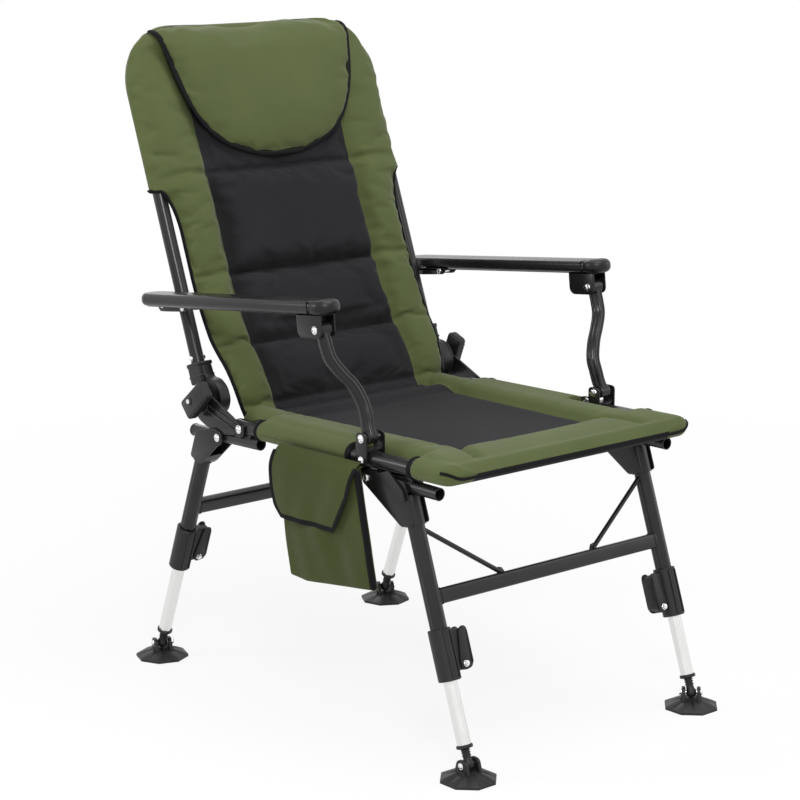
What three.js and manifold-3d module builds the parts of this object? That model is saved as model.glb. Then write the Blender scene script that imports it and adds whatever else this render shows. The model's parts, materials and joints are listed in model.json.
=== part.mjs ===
// Folding fishing chair with a reclining back and four telescopic legs.
// Millimetres. x runs across the chair, y to the rear, z up from the ground.
// Each side is built once, at positive x, and mirrored for the left.

import * as THREE from "three";
import { mergeVertices } from "three/addons/utils/BufferGeometryUtils.js";
import Module from "manifold-3d";

const wasm = await Module();
wasm.setup();

const DEGREE = Math.PI / 180;
const QUARTER_TURN = 90 * DEGREE;
const HALF = 1 / 2;

// Fineness of the meshes
const TUBE_SIDES = 12;
const BOLT_SIDES = 8;
const BEND_STEPS = 3;
const CORNER_STEPS = 2;
const MERGE_DISTANCE = 0.0001;

// Clearances
const GAP = 0.3;
const PIVOT_GAP = 0.5;
const OVERRUN = 2;

// Tubes
const RAIL_RADIUS = 13.5;
const CROSS_RADIUS = 11.5;
const LOWER_TUBE_RADIUS = 10.5;
const LEG_RADIUS = 13.75;
const INNER_TUBE_RADIUS = 11.25;
const BACK_TUBE_RADIUS = 12;
const TUBE_WALL = 1.6;
const SHEET = 2.5;

// Seat frame
const SEAT_PITCH = 1.36 * DEGREE;
const RAIL_X = 260;
const RAIL_FRONT_Y = -262;
const RAIL_REAR_Y = 262;
const RAIL_HEIGHT = 471.9;
const RAIL_BEND = 32;
const REAR_CROSS_Y = 235;

// Leg pivots, leaning legs and what they carry, measured down each leg from its pivot
const FRONT_PIVOT_Y = -85;
const FRONT_PIVOT_DROP = 26.9;
const FRONT_PIVOT_Z = RAIL_HEIGHT - FRONT_PIVOT_DROP;
const FRONT_LEAN = 19.14 * DEGREE;
const FRONT_OFFSET = 74.3;
const FRONT_LEG_X = 255;
const FRONT_TOP_DROP = 43;
const FRONT_GUSSET_DROP = 88.7;
const FRONT_BAR_DROP = 205.8;
const FRONT_CLAMP_DROP = 337;
const REAR_PIVOT_Y = 297;
const REAR_PIVOT_DROP = 29.9;
const REAR_PIVOT_Z = RAIL_HEIGHT - REAR_PIVOT_DROP;
const REAR_LEAN = 20.3 * DEGREE;
const REAR_OFFSET = 42.7;
const REAR_LEG_X = 264;
const REAR_TOP_DROP = 35.5;
const REAR_GUSSET_DROP = 70;
const REAR_BAR_DROP = 169.3;
const REAR_CLAMP_DROP = 293;
const BALL_HEIGHT = 26;

// Lower tubes, from the pivot to their two ends
const FRONT_STUB_AHEAD = 155;
const FRONT_STUB_BEHIND = 42;
const REAR_STUB_AHEAD = 100;
const REAR_STUB_BEHIND = 85;
const REAR_STUB_PITCH = -2.16 * DEGREE;
const SADDLE_LENGTH = 18;
const SADDLE_HALF_WIDTH = 8;
const FRONT_SADDLES_Y = [-58, -176];
const REAR_SADDLES_Y = [224, 250];

// Recline hinge, back frame and arms
const HINGE_Y = 346.6;
const HINGE_RISE = 28.1;
const HINGE_Z = RAIL_HEIGHT + HINGE_RISE;
const BACK_LEAN = 20.3 * DEGREE;
const BACK_TUBE_X = 260;
const BACK_TUBE_N = 8;
const BACK_TUBE_FOOT = 29;
const BACK_TUBE_TOP = 643;
const BACK_TUBE_BEND = 62;
const ARM_REAR_RISE = 173.1;
const ARM_FOOT_Y = -81;
const ARM_FOOT_RISE = 36.1;
const ARM_FOOT_Z = RAIL_HEIGHT + ARM_FOOT_RISE;
const ARM_FRONT_Y = -15.5;
const ARM_FRONT_RISE = 205.1;
const ARM_FRONT_Z = RAIL_HEIGHT + ARM_FRONT_RISE;
const ARM_X = 303;
const ARM_SLOPE = 6.04 * DEGREE;

// Materials
const paint = (color, roughness, metalness) =>
  new THREE.MeshStandardMaterial({ color, roughness, metalness });
const blackPaint = paint(0x282726, 0.42, 0.55);
const blackPlastic = paint(0x232322, 0.6, 0);
const softPlastic = paint(0x2a2a2b, 0.5, 0);
const chrome = paint(0xc9cacb, 0.2, 1);
const aluminium = paint(0xcdcecb, 0.32, 1);
const greenFabric = paint(0x586640, 0.9, 0);
const bagFabric = paint(0x48522a, 0.9, 0);
const blackFabric = paint(0x303032, 0.92, 0);

// Vectors and outlines
const place = (x, y, z) => new THREE.Vector3(x, y, z);
const X = place(1, 0, 0);
const Y = place(0, 1, 0);
const Z = place(0, 0, 1);
const DRAWN_ACROSS = new THREE.Matrix4().makeBasis(Y, Z, X);
const DRAWN_BACK = new THREE.Matrix4().makeBasis(X, Z, Y.clone().negate());

function circle(radius, sides) {
  return Array.from({ length: sides }, (_, corner) => {
    const angle = (2 * Math.PI * (corner + HALF)) / sides;
    return new THREE.Vector2(radius * Math.cos(angle), radius * Math.sin(angle));
  });
}

// The radius of a polygon that clears a round piece at every angle
const around = (radius, sides = TUBE_SIDES) => (radius + GAP) / Math.cos(Math.PI / sides);

// An outline through corners that are each rounded by one radius
function rounded(corners, radius) {
  const shape = new THREE.Shape();
  corners.forEach((corner, index) => {
    const here = new THREE.Vector2(...corner);
    const before = new THREE.Vector2(...corners.at(index - 1)).sub(here);
    const after = new THREE.Vector2(...corners[(index + 1) % corners.length]).sub(here);
    const into = here.clone().addScaledVector(before, Math.min(radius / before.length(), HALF));
    const out = here.clone().addScaledVector(after, Math.min(radius / after.length(), HALF));
    if (index === 0) shape.moveTo(into.x, into.y);
    else shape.lineTo(into.x, into.y);
    shape.quadraticCurveTo(here.x, here.y, out.x, out.y);
  });
  shape.closePath();
  return shape;
}

// Solids that are drawn sideways, in y and z, or from the front, in x and z
function acrossFrom(shape, from, to) {
  const settings = { depth: to - from, bevelEnabled: false, curveSegments: CORNER_STEPS };
  return new THREE.ExtrudeGeometry(shape, settings).applyMatrix4(DRAWN_ACROSS).translate(from, 0, 0);
}

function backFrom(shape, from, to) {
  const settings = { depth: to - from, bevelEnabled: false, curveSegments: CORNER_STEPS };
  return new THREE.ExtrudeGeometry(shape, settings).applyMatrix4(DRAWN_BACK).translate(0, to, 0);
}

function block(low, high) {
  const size = high.clone().sub(low);
  const middle = low.clone().add(high).multiplyScalar(HALF);
  return new THREE.BoxGeometry(size.x, size.y, size.z).translate(middle.x, middle.y, middle.z);
}

// Turned pieces, from [radius, station] pairs along x or along z
function turned(profile, sides = BOLT_SIDES) {
  const points = profile.map(([radius, station]) => new THREE.Vector2(radius, station));
  return new THREE.LatheGeometry(points, sides).rotateZ(-QUARTER_TURN);
}

// A round bar along x, and a pin along x with a head at each end
const bar = (radius, from, to, sides = BOLT_SIDES) =>
  turned([[0, from], [radius, from], [radius, to], [0, to]], sides);

function headedPin(radius, head, thickness, outside) {
  return turned([
    [0, -outside - thickness],
    [head, -outside - thickness],
    [head, -outside],
    [radius, -outside],
    [radius, outside],
    [head, outside],
    [head, outside + thickness],
    [0, outside + thickness],
  ]);
}

// The room that a bolt needs in the pieces that it passes through
const boltRoom = (radius, from, to) => bar(around(radius, BOLT_SIDES), from, to);

function spun(profile, sides = TUBE_SIDES) {
  const points = profile.map(([radius, station]) => new THREE.Vector2(radius, station));
  return new THREE.LatheGeometry(points, sides).rotateX(QUARTER_TURN);
}

// A route whose steps lie exactly on the places that it is given
class Route extends THREE.Curve {
  constructor(places) {
    super();
    this.places = places;
  }

  getPoint(share) {
    const last = this.places.length - 1;
    const step = Math.min(Math.floor(share * last + HALF / last), last - 1);
    return this.places[step].clone().lerp(this.places[step + 1], share * last - step);
  }

  getPointAt(share) {
    return this.getPoint(share);
  }

  getTangentAt(share) {
    const last = this.places.length - 1;
    const step = Math.round(share * last);
    const here = this.places[step];
    const into = here.clone().sub(this.places[Math.max(step - 1, 0)]).normalize();
    const out = this.places[Math.min(step + 1, last)].clone().sub(here).normalize();
    return into.add(out).normalize();
  }
}

// A line of places with a round bend at each inner corner
function bent(corners, radius) {
  const places = [corners[0]];
  for (let index = 1; index < corners.length - 1; index++) {
    const corner = corners[index];
    const into = corner.clone().sub(corners[index - 1]).normalize();
    const out = corners[index + 1].clone().sub(corner).normalize();
    const turn = into.angleTo(out);
    const inward = out.clone().sub(into).normalize();
    const centre = corner.clone().addScaledVector(inward, radius / Math.cos(turn / 2));
    const arm = corner.clone().addScaledVector(into, -radius * Math.tan(turn / 2)).sub(centre);
    const axis = into.clone().cross(out).normalize();
    for (let step = 0; step <= BEND_STEPS; step++)
      places.push(arm.clone().applyAxisAngle(axis, (turn * step) / BEND_STEPS).add(centre));
  }
  places.push(corners.at(-1));
  return places;
}

function along(places, section) {
  const settings = { steps: places.length - 1, extrudePath: new Route(places) };
  return new THREE.ExtrudeGeometry(section, settings);
}

function tubing(places, radius, bore = 0, sides = TUBE_SIDES) {
  const section = new THREE.Shape(circle(radius, sides));
  if (bore > 0) section.holes.push(new THREE.Path(circle(bore, sides)));
  return along(places, section);
}

// Joins and cuts
function solid(geometry) {
  const loose = geometry.index ? geometry.toNonIndexed() : geometry;
  const bare = new THREE.BufferGeometry().setAttribute("position", loose.getAttribute("position"));
  const merged = mergeVertices(bare, MERGE_DISTANCE);
  const vertProperties = new Float32Array(merged.getAttribute("position").array);
  const corners = [];
  for (let index = 0; index < merged.index.count; index += 3) {
    const [a, b, c] = [0, 1, 2].map((offset) => merged.index.getX(index + offset));
    if (a !== b && b !== c && c !== a) corners.push(a, b, c);
  }
  const make = (list) =>
    new wasm.Manifold(new wasm.Mesh({ numProp: 3, vertProperties, triVerts: new Uint32Array(list) }));
  const made = make(corners);
  return made.volume() < 0 ? make(corners.reverse()) : made;
}

function surface(made) {
  const mesh = made.getMesh();
  const positions = new THREE.BufferAttribute(new Float32Array(mesh.vertProperties), 3);
  const geometry = new THREE.BufferGeometry().setAttribute("position", positions);
  geometry.setIndex(new THREE.BufferAttribute(new Uint32Array(mesh.triVerts), 1));
  return geometry;
}

const join = (first, ...others) =>
  surface(others.reduce((sum, other) => sum.add(solid(other)), solid(first)));
const cut = (first, ...tools) =>
  surface(tools.reduce((rest, tool) => rest.subtract(solid(tool)), solid(first)));

function piece(parent, name, geometry, material) {
  const mesh = new THREE.Mesh(surface(solid(geometry)), material);
  mesh.geometry.computeVertexNormals();
  mesh.name = name;
  parent.add(mesh);
}

// A closed solid between two faces that share one grid of rows and columns
function between(rows) {
  const columns = rows[0].length;
  const points = [0, 1].flatMap((face) => rows.flatMap((row) => row.map((pair) => pair[face])));
  const at = (face, row, column) => (face * rows.length + row) * columns + column;
  const index = [];
  const quad = (a, b, c, d) => index.push(a, b, c, a, c, d);
  for (let row = 0; row < rows.length - 1; row++) {
    for (let column = 0; column < columns - 1; column++) {
      quad(at(0, row, column), at(0, row, column + 1), at(0, row + 1, column + 1), at(0, row + 1, column));
      quad(at(1, row, column), at(1, row + 1, column), at(1, row + 1, column + 1), at(1, row, column + 1));
    }
    quad(at(0, row, 0), at(0, row + 1, 0), at(1, row + 1, 0), at(1, row, 0));
    const edge = columns - 1;
    quad(at(0, row, edge), at(1, row, edge), at(1, row + 1, edge), at(0, row + 1, edge));
  }
  for (let column = 0; column < columns - 1; column++) {
    quad(at(0, 0, column), at(1, 0, column), at(1, 0, column + 1), at(0, 0, column + 1));
    const end = rows.length - 1;
    quad(at(0, end, column), at(0, end, column + 1), at(1, end, column + 1), at(1, end, column));
  }
  const geometry = new THREE.BufferGeometry().setFromPoints(points);
  geometry.setIndex(index);
  return geometry;
}

// Linear reading of a table of [station, value] pairs
function read(table, station) {
  if (station <= table[0][0]) return table[0][1];
  for (let index = 1; index < table.length; index++) {
    const [to, high] = table[index];
    const [from, low] = table[index - 1];
    if (station <= to) return low + ((high - low) * (station - from)) / (to - from);
  }
  return table.at(-1)[1];
}

const railHeight = (y) => RAIL_HEIGHT - y * Math.tan(SEAT_PITCH);

function movingGroup(parent, name, where, tilt = 0) {
  const group = new THREE.Group();
  group.name = name;
  group.position.copy(where);
  group.rotation.x = tilt;
  parent.add(group);
  return group;
}

// Both sides of the chair: the maker draws the right one, and the left one is its mirror image
function bothSides(parent, maker) {
  for (const [side, mirror] of [["left", -1], ["right", 1]]) {
    const group = new THREE.Group();
    group.scale.x = mirror;
    parent.add(group);
    maker(group, side);
  }
}

const chair = new THREE.Group();

// Seat frame: a tube bent round the front and sides, with a straight cross tube welded in at the rear
function railPath() {
  const corner = (x, y) => place(x, y, railHeight(y));
  const ends = [
    corner(-RAIL_X, RAIL_REAR_Y),
    corner(-RAIL_X, RAIL_FRONT_Y),
    corner(RAIL_X, RAIL_FRONT_Y),
    corner(RAIL_X, RAIL_REAR_Y),
  ];
  return bent(ends, RAIL_BEND);
}

function crossPath() {
  return [-RAIL_X, RAIL_X].map((x) => place(x, REAR_CROSS_Y, railHeight(REAR_CROSS_Y)));
}

function seatFrame() {
  const rail = tubing(railPath(), RAIL_RADIUS, RAIL_RADIUS - TUBE_WALL);
  const frame = join(rail, tubing(crossPath(), CROSS_RADIUS));
  piece(chair, "seat_frame_tube", cut(frame, tubing(crossPath(), CROSS_RADIUS - TUBE_WALL)), blackPaint);
}

// What a rail and the cross tube need in a piece that they pass through
function railRoom() {
  return [tubing(railPath(), around(RAIL_RADIUS)), tubing(crossPath(), around(CROSS_RADIUS))];
}

// Arm brackets: a folded plate over the rail, with two ears that hold the foot of an arm support
const ARM_BRACKET_INSIDE = 17;
const ARM_BRACKET_LENGTH = 26;
const ARM_BRACKET_DROP = 10;
const ARM_BRACKET_RISE = 9;
const ARM_BRACKET_CORNER = 8;
const ARM_BOLT_RADIUS = 4;

function armBracket(group, side) {
  const railZ = railHeight(ARM_FOOT_Y);
  const front = ARM_FOOT_Y - ARM_BRACKET_LENGTH * HALF;
  const rear = ARM_FOOT_Y + ARM_BRACKET_LENGTH * HALF;
  const low = railZ - ARM_BRACKET_DROP;
  const high = ARM_FOOT_Z + ARM_BRACKET_RISE;
  const ear = rounded([[front, low], [rear, low], [rear, high], [front, high]], ARM_BRACKET_CORNER);
  const ears = [-1, 1].map((hand) => {
    const inner = RAIL_X + hand * ARM_BRACKET_INSIDE;
    const outer = inner + hand * SHEET;
    return acrossFrom(ear, Math.min(inner, outer), Math.max(inner, outer));
  });
  const saddleFloor = railZ + RAIL_RADIUS * HALF;
  const saddleTop = railZ + RAIL_RADIUS + SHEET;
  const reach = ARM_BRACKET_INSIDE + SHEET * HALF;
  const saddle = block(
    place(RAIL_X - reach, front + SHEET, saddleFloor),
    place(RAIL_X + reach, rear - SHEET, saddleTop),
  );
  const hole = boltRoom(ARM_BOLT_RADIUS, RAIL_X * HALF, RAIL_X * 2).translate(0, ARM_FOOT_Y, ARM_FOOT_Z);
  const passing = [front - OVERRUN, rear + OVERRUN].map((y) => place(RAIL_X, y, railHeight(y)));
  const railSpace = tubing(passing, around(RAIL_RADIUS));
  piece(group, `arm_bracket_${side}`, cut(join(saddle, ...ears), hole, railSpace), blackPaint);
}

// A bolt across the chair with its head outside, its nut inside and an optional collar
const HEAD_LENGTH = 5;
const HEAD_SHARE = 1.8;
const HEAD_RIM_SHARE = 0.7;

function bolt(radius, inside, outside, collars = []) {
  const head = radius * HEAD_SHARE;
  const profile = [
    [0, inside - HEAD_LENGTH],
    [head, inside - HEAD_LENGTH],
    [head, inside],
    [radius, inside],
  ];
  for (const [from, to, size] of collars)
    profile.push([radius, from], [size, from], [size, to], [radius, to]);
  profile.push([radius, outside], [head, outside], [head, outside + HEAD_LENGTH * HEAD_RIM_SHARE]);
  profile.push([head * HEAD_RIM_SHARE, outside + HEAD_LENGTH], [0, outside + HEAD_LENGTH]);
  return turned(profile);
}

function armBolt(group, side) {
  const reach = ARM_BRACKET_INSIDE + SHEET + GAP;
  const made = bolt(ARM_BOLT_RADIUS, RAIL_X - reach, RAIL_X + reach);
  piece(group, `arm_pivot_bolt_${side}`, made.translate(0, ARM_FOOT_Y, ARM_FOOT_Z), chrome);
}

// Lower tubes: the legs pivot on them, and welded saddles hold them under the rails
const LEG_BOLT_RADIUS = 4;

function lowerTube(group, name, spec) {
  const slope = Math.tan(spec.pitch);
  const spot = (y) => place(spec.x, y, spec.pivotZ + (y - spec.pivotY) * slope);
  const front = spot(spec.pivotY - spec.ahead);
  const rear = spot(spec.pivotY + spec.behind);
  const saddles = spec.saddles.map((y) =>
    block(
      place(spec.x - SADDLE_HALF_WIDTH, y - SADDLE_LENGTH * HALF, spot(y).z),
      place(spec.x + SADDLE_HALF_WIDTH, y + SADDLE_LENGTH * HALF, railHeight(y)),
    ),
  );
  const bore = tubing([spot(spec.boreFrom), spot(spec.boreTo)], LOWER_TUBE_RADIUS - TUBE_WALL);
  const hole = boltRoom(LEG_BOLT_RADIUS, spec.x * HALF, spec.x * 2).translate(0, spec.pivotY, spec.pivotZ);
  const body = join(tubing([front, rear], LOWER_TUBE_RADIUS), ...saddles);
  piece(group, name, cut(body, bore, hole, ...railRoom()), blackPaint);
}

const frontTube = {
  x: FRONT_LEG_X,
  pivotY: FRONT_PIVOT_Y,
  pivotZ: FRONT_PIVOT_Z,
  pitch: 0,
  ahead: FRONT_STUB_AHEAD,
  behind: FRONT_STUB_BEHIND,
  saddles: FRONT_SADDLES_Y,
  boreFrom: FRONT_PIVOT_Y - FRONT_STUB_AHEAD - OVERRUN,
  boreTo: FRONT_PIVOT_Y + FRONT_STUB_BEHIND + OVERRUN,
};
const rearTube = {
  x: REAR_LEG_X,
  pivotY: REAR_PIVOT_Y,
  pivotZ: REAR_PIVOT_Z,
  pitch: REAR_STUB_PITCH,
  ahead: REAR_STUB_AHEAD,
  behind: REAR_STUB_BEHIND,
  saddles: REAR_SADDLES_Y,
  boreFrom: REAR_PIVOT_Y - REAR_STUB_AHEAD - OVERRUN,
  boreTo: REAR_PIVOT_Y + REAR_STUB_BEHIND - TUBE_WALL,
};

// Gusset cheeks stand this far from the middle of a leg and of its lower tube
const CHEEK_INSIDE = 14.3;
const CHEEK_OUTSIDE = CHEEK_INSIDE + SHEET;
const LEG_COLLAR_SHARE = 0.62;

function legBolt(group, name, spec) {
  const reach = CHEEK_OUTSIDE + GAP;
  const collarSize = LEG_BOLT_RADIUS / LEG_COLLAR_SHARE;
  const collarFrom = LOWER_TUBE_RADIUS + GAP;
  const collarTo = CHEEK_INSIDE - GAP;
  const collars = [
    [spec.x - collarTo, spec.x - collarFrom, collarSize],
    [spec.x + collarFrom, spec.x + collarTo, collarSize],
  ];
  const made = bolt(LEG_BOLT_RADIUS, spec.x - reach, spec.x + reach, collars);
  piece(group, name, made.translate(0, spec.pivotY, spec.pivotZ), chrome);
}

// Recline bracket: a plate from the rail to the hinge, with a toothed boss on its inner face
const BRACKET_INNER = RAIL_X + RAIL_RADIUS + GAP;
const BRACKET_THICKNESS = 4;
const DISC_RADIUS = 26;
const DISC_SPLIT = 6;
const TOOTH_COUNT = 12;
const TOOTH_DEPTH = 1.5;
const BRACKET_BOLT_Y = 240;
const BRACKET_FOOT_RADIUS = 13;
const SCREW_RADIUS = 5;

function toothed(radius, from, to) {
  const points = circle(radius, 2 * TOOTH_COUNT).map((point, index) =>
    point.multiplyScalar(index % 2 ? 1 : (radius - TOOTH_DEPTH) / radius),
  );
  return acrossFrom(new THREE.Shape(points), from, to);
}

const screwRoom = () => boltRoom(SCREW_RADIUS, BACK_TUBE_X * HALF, BACK_TUBE_X * 2);

function reclineBracket(group, side) {
  const foot = [BRACKET_BOLT_Y - HINGE_Y, railHeight(BRACKET_BOLT_Y) - HINGE_Z];
  const wide = DISC_RADIUS;
  const slim = BRACKET_FOOT_RADIUS;
  const outline = rounded(
    [
      [foot[0] - slim, foot[1] - slim],
      [foot[0] + slim, foot[1] - slim],
      [wide * HALF, -wide],
      [wide, -wide * HALF],
      [wide, wide * HALF],
      [wide * HALF, wide],
      [-wide * HALF, wide],
      [foot[0] - slim, foot[1] + slim],
    ],
    slim * HALF,
  );
  const outer = BRACKET_INNER + BRACKET_THICKNESS;
  const plate = acrossFrom(outline, BRACKET_INNER, outer);
  const boss = toothed(DISC_RADIUS, BACK_TUBE_X + DISC_SPLIT + GAP, outer - BRACKET_THICKNESS * HALF);
  const made = cut(join(plate, boss), screwRoom());
  piece(group, `recline_bracket_${side}`, made.translate(0, HINGE_Y, HINGE_Z), blackPaint);
}

// Seat cushion: plan stations are measured from the front edge to the crease
const SEAT_FRONT_Y = -285;
const SEAT_REAR_Y = 285;
const SEAT_HALF_WIDTH = 277;
const SEAT_CUT_GAP = 2;
const SEAT_CUT_WIDTH = RAIL_X - ARM_BRACKET_INSIDE - SHEET - SEAT_CUT_GAP;
const ARM_CUT_FRONT = -190;
const ARM_CUT_REAR = -40;
const HINGE_CUT_FRONT = 196;
const CUT_RUN = 6;
const SEAT_TOP = 19;
const SEAT_EDGE = 4;
const SEAT_SLEEVE_DEPTH = 16;
const SEAT_SHEET_DEPTH = 6;
const SEAT_SAG = 9;
const SAG_RUN = 110;
const SEAM_FRONT_X = 158.7;
const SEAM_REAR_X = 177;
const SEAM_FRONT_Y = -168.5;
const SEAM_DEPTH = 7;
const SEAM_WIDTH = 9;
const SEAT_CROWN = 5;
const PANEL_SHARES = [0, 0.45, 0.85];
const BORDER_SHARES = [0, 0.18, 0.5, 0.72, 0.92, 1];
const WRAP_RUN = 20;

const seatHalfWidths = [
  [SEAT_FRONT_Y, SEAT_HALF_WIDTH - CUT_RUN * 2],
  [SEAT_FRONT_Y + CUT_RUN, SEAT_HALF_WIDTH],
  [ARM_CUT_FRONT - CUT_RUN, SEAT_HALF_WIDTH],
  [ARM_CUT_FRONT, SEAT_CUT_WIDTH],
  [ARM_CUT_REAR, SEAT_CUT_WIDTH],
  [ARM_CUT_REAR + CUT_RUN, SEAT_HALF_WIDTH],
  [HINGE_CUT_FRONT - CUT_RUN, SEAT_HALF_WIDTH],
  [HINGE_CUT_FRONT, SEAT_CUT_WIDTH],
  [SEAT_REAR_Y, SEAT_CUT_WIDTH],
];
const seamX = (y) => read([[SEAM_FRONT_Y, SEAM_FRONT_X], [SEAT_REAR_Y, SEAM_REAR_X]], y);
const dip = (distance) => Math.exp(-((distance / SEAM_WIDTH) ** 2));

function seatTop(x, y, half) {
  const across = Math.abs(x);
  const seam = seamX(y);
  const border = Math.max(0, (across - seam) / (half - seam));
  const edge = SEAT_EDGE * HALF * Math.max(border, read([[SEAT_FRONT_Y, 1], [SEAM_FRONT_Y, 0]], y)) ** 2;
  const span = Math.min(y - RAIL_FRONT_Y, REAR_CROSS_Y - y);
  const free = Math.min(1, Math.max(0, span / SAG_RUN));
  const sag = SEAT_SAG * free * (1 - Math.min(1, across / RAIL_X) ** 2);
  const crown = SEAT_CROWN * Math.sin(Math.PI * Math.min(1, border)) ** 2;
  const frontGroove = dip(y - SEAM_FRONT_Y);
  const grooves = y < SEAM_FRONT_Y - SEAM_WIDTH ? frontGroove : Math.max(dip(across - seam), frontGroove);
  const groove = across > seam + SEAM_WIDTH ? 0 : SEAM_DEPTH * grooves;
  return railHeight(y) + SEAT_TOP - edge - sag + crown - groove;
}

function seatBottom(x, y) {
  const wrap = (distance) => Math.min(1, Math.max(0, 1 - distance / WRAP_RUN));
  const sleeve = wrap(RAIL_X - RAIL_RADIUS - Math.abs(x));
  const front = wrap(y - RAIL_FRONT_Y - RAIL_RADIUS - GAP);
  const rear = wrap(Math.abs(y - REAR_CROSS_Y) - RAIL_RADIUS - GAP);
  const deep = Math.max(sleeve, front, rear);
  return railHeight(y) - SEAT_SHEET_DEPTH - (SEAT_SLEEVE_DEPTH - SEAT_SHEET_DEPTH) * deep;
}

// Front edge of the cushion: the top rolls down to the binding over these shares of the edge
const FRONT_ROLL_SHARES = [0, 0.12, 0.4, 1];
const FRONT_ROLL = 26;
const FRONT_DROP_SHARES = [1, 0.4, 0.05, 0];
const FRONT_DROP = 14;

function seatCushion() {
  const rearWrap = RAIL_RADIUS + GAP + WRAP_RUN;
  const stations = [
    ...FRONT_ROLL_SHARES.map((share) => SEAT_FRONT_Y + FRONT_ROLL * share),
    RAIL_FRONT_Y + rearWrap,
    ARM_CUT_FRONT - CUT_RUN,
    ARM_CUT_FRONT,
    SEAM_FRONT_Y,
    SEAM_FRONT_Y + SEAM_WIDTH,
    SEAM_FRONT_Y * HALF,
    ARM_CUT_REAR,
    ARM_CUT_REAR + CUT_RUN,
    SEAT_REAR_Y * HALF,
    REAR_CROSS_Y - rearWrap,
    HINGE_CUT_FRONT - CUT_RUN,
    HINGE_CUT_FRONT,
    REAR_CROSS_Y + RAIL_RADIUS + GAP,
    SEAT_REAR_Y,
  ].sort((low, high) => low - high);
  const rows = stations.map((y, index) => {
    const half = read(seatHalfWidths, y);
    const seam = seamX(y);
    const outward = [
      ...PANEL_SHARES.map((share) => seam * share),
      ...BORDER_SHARES.map((share) => seam + (half - seam) * share),
    ];
    const columns = [...outward.slice(1).reverse().map((x) => -x), ...outward];
    const drop = FRONT_DROP * (FRONT_DROP_SHARES[index] ?? 0);
    return columns.map((x) => {
      const edge = Math.abs(x) === half ? SEAT_EDGE : 0;
      const top = Math.max(seatTop(x, y, half) - drop - edge, seatBottom(x, y) + SEAT_EDGE);
      return [place(x, y, top), place(x, y, seatBottom(x, y))];
    });
  });
  piece(chair, "seat_cushion", cut(between(rows), ...railRoom()), greenFabric);
}

// Side bag: a flat pouch with an open top, hung from the sleeve on the left by a hem
const BAG_INNER_X = 283.5;
const BAG_DEPTH = 18;
const BAG_WALL = 2;
const BAG_HEM_X = 268;
const BAG_HEM = 3;
const BAG_RISE = 4;
const BAG_TOP_FRONT = -88;
const BAG_TOP_REAR = 104;
const BAG_FRONT_Y = -128;
const BAG_REAR_Y = 80;
const BAG_DROP = 217.9;
const BAG_BOTTOM_Z = RAIL_HEIGHT - BAG_DROP;
const BAG_FRONT_LIFT = 22;
const BAG_CORNER = 8;
const HEM_FRONT = -30;

function sideBag(group) {
  const top = (y) => railHeight(y) - SEAT_SLEEVE_DEPTH + BAG_RISE;
  const outline = (inset) =>
    rounded(
      [
        [BAG_FRONT_Y + inset, BAG_BOTTOM_Z + BAG_FRONT_LIFT + inset],
        [BAG_REAR_Y * HALF - BAG_CORNER, BAG_BOTTOM_Z + inset],
        [BAG_REAR_Y - inset, BAG_BOTTOM_Z + inset],
        [BAG_TOP_REAR - inset, top(BAG_TOP_REAR) + (inset ? OVERRUN : 0)],
        [BAG_TOP_FRONT + inset, top(BAG_TOP_FRONT) + (inset ? OVERRUN : 0)],
      ],
      BAG_CORNER,
    );
  const outer = BAG_INNER_X + BAG_DEPTH;
  const pouch = acrossFrom(outline(0), BAG_INNER_X, outer);
  const hollow = acrossFrom(outline(BAG_WALL), BAG_INNER_X + BAG_WALL, outer - BAG_WALL);
  const mouth = block(
    place(BAG_INNER_X + BAG_WALL, BAG_TOP_FRONT + BAG_CORNER, top(BAG_TOP_REAR) - BAG_CORNER),
    place(outer - BAG_WALL, BAG_TOP_REAR - BAG_CORNER, top(BAG_TOP_FRONT) + OVERRUN),
  );
  const hemTop = (y) => railHeight(y) - SEAT_SLEEVE_DEPTH - GAP;
  const hem = new THREE.Shape([
    new THREE.Vector2(HEM_FRONT, hemTop(HEM_FRONT)),
    new THREE.Vector2(HEM_FRONT, hemTop(HEM_FRONT) - BAG_HEM),
    new THREE.Vector2(BAG_TOP_REAR - BAG_CORNER, hemTop(BAG_TOP_REAR - BAG_CORNER) - BAG_HEM),
    new THREE.Vector2(BAG_TOP_REAR - BAG_CORNER, hemTop(BAG_TOP_REAR - BAG_CORNER)),
  ]);
  const strap = acrossFrom(hem, BAG_HEM_X, BAG_INNER_X + BAG_WALL * HALF);
  piece(group, "side_bag", join(cut(pouch, hollow, mouth), strap), bagFabric);
}

// Bag flap: a cloth cover that lifts about its top edge
const FLAP_THICKNESS = 2.5;
const FLAP_LIFT = 9;
const FLAP_FRONT_TOP = -92;
const FLAP_REAR_TOP = 118;
const FLAP_LOW_DROP = 114.9;
const FLAP_LOW_Z = RAIL_HEIGHT - FLAP_LOW_DROP;
const FLAP_LOW_REAR = 98;
const FLAP_LOW_FRONT = -44;
const FLAP_CUT_Y = -78;
const FLAP_CUT_DROP = 63.9;
const FLAP_CUT_Z = RAIL_HEIGHT - FLAP_CUT_DROP;

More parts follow.
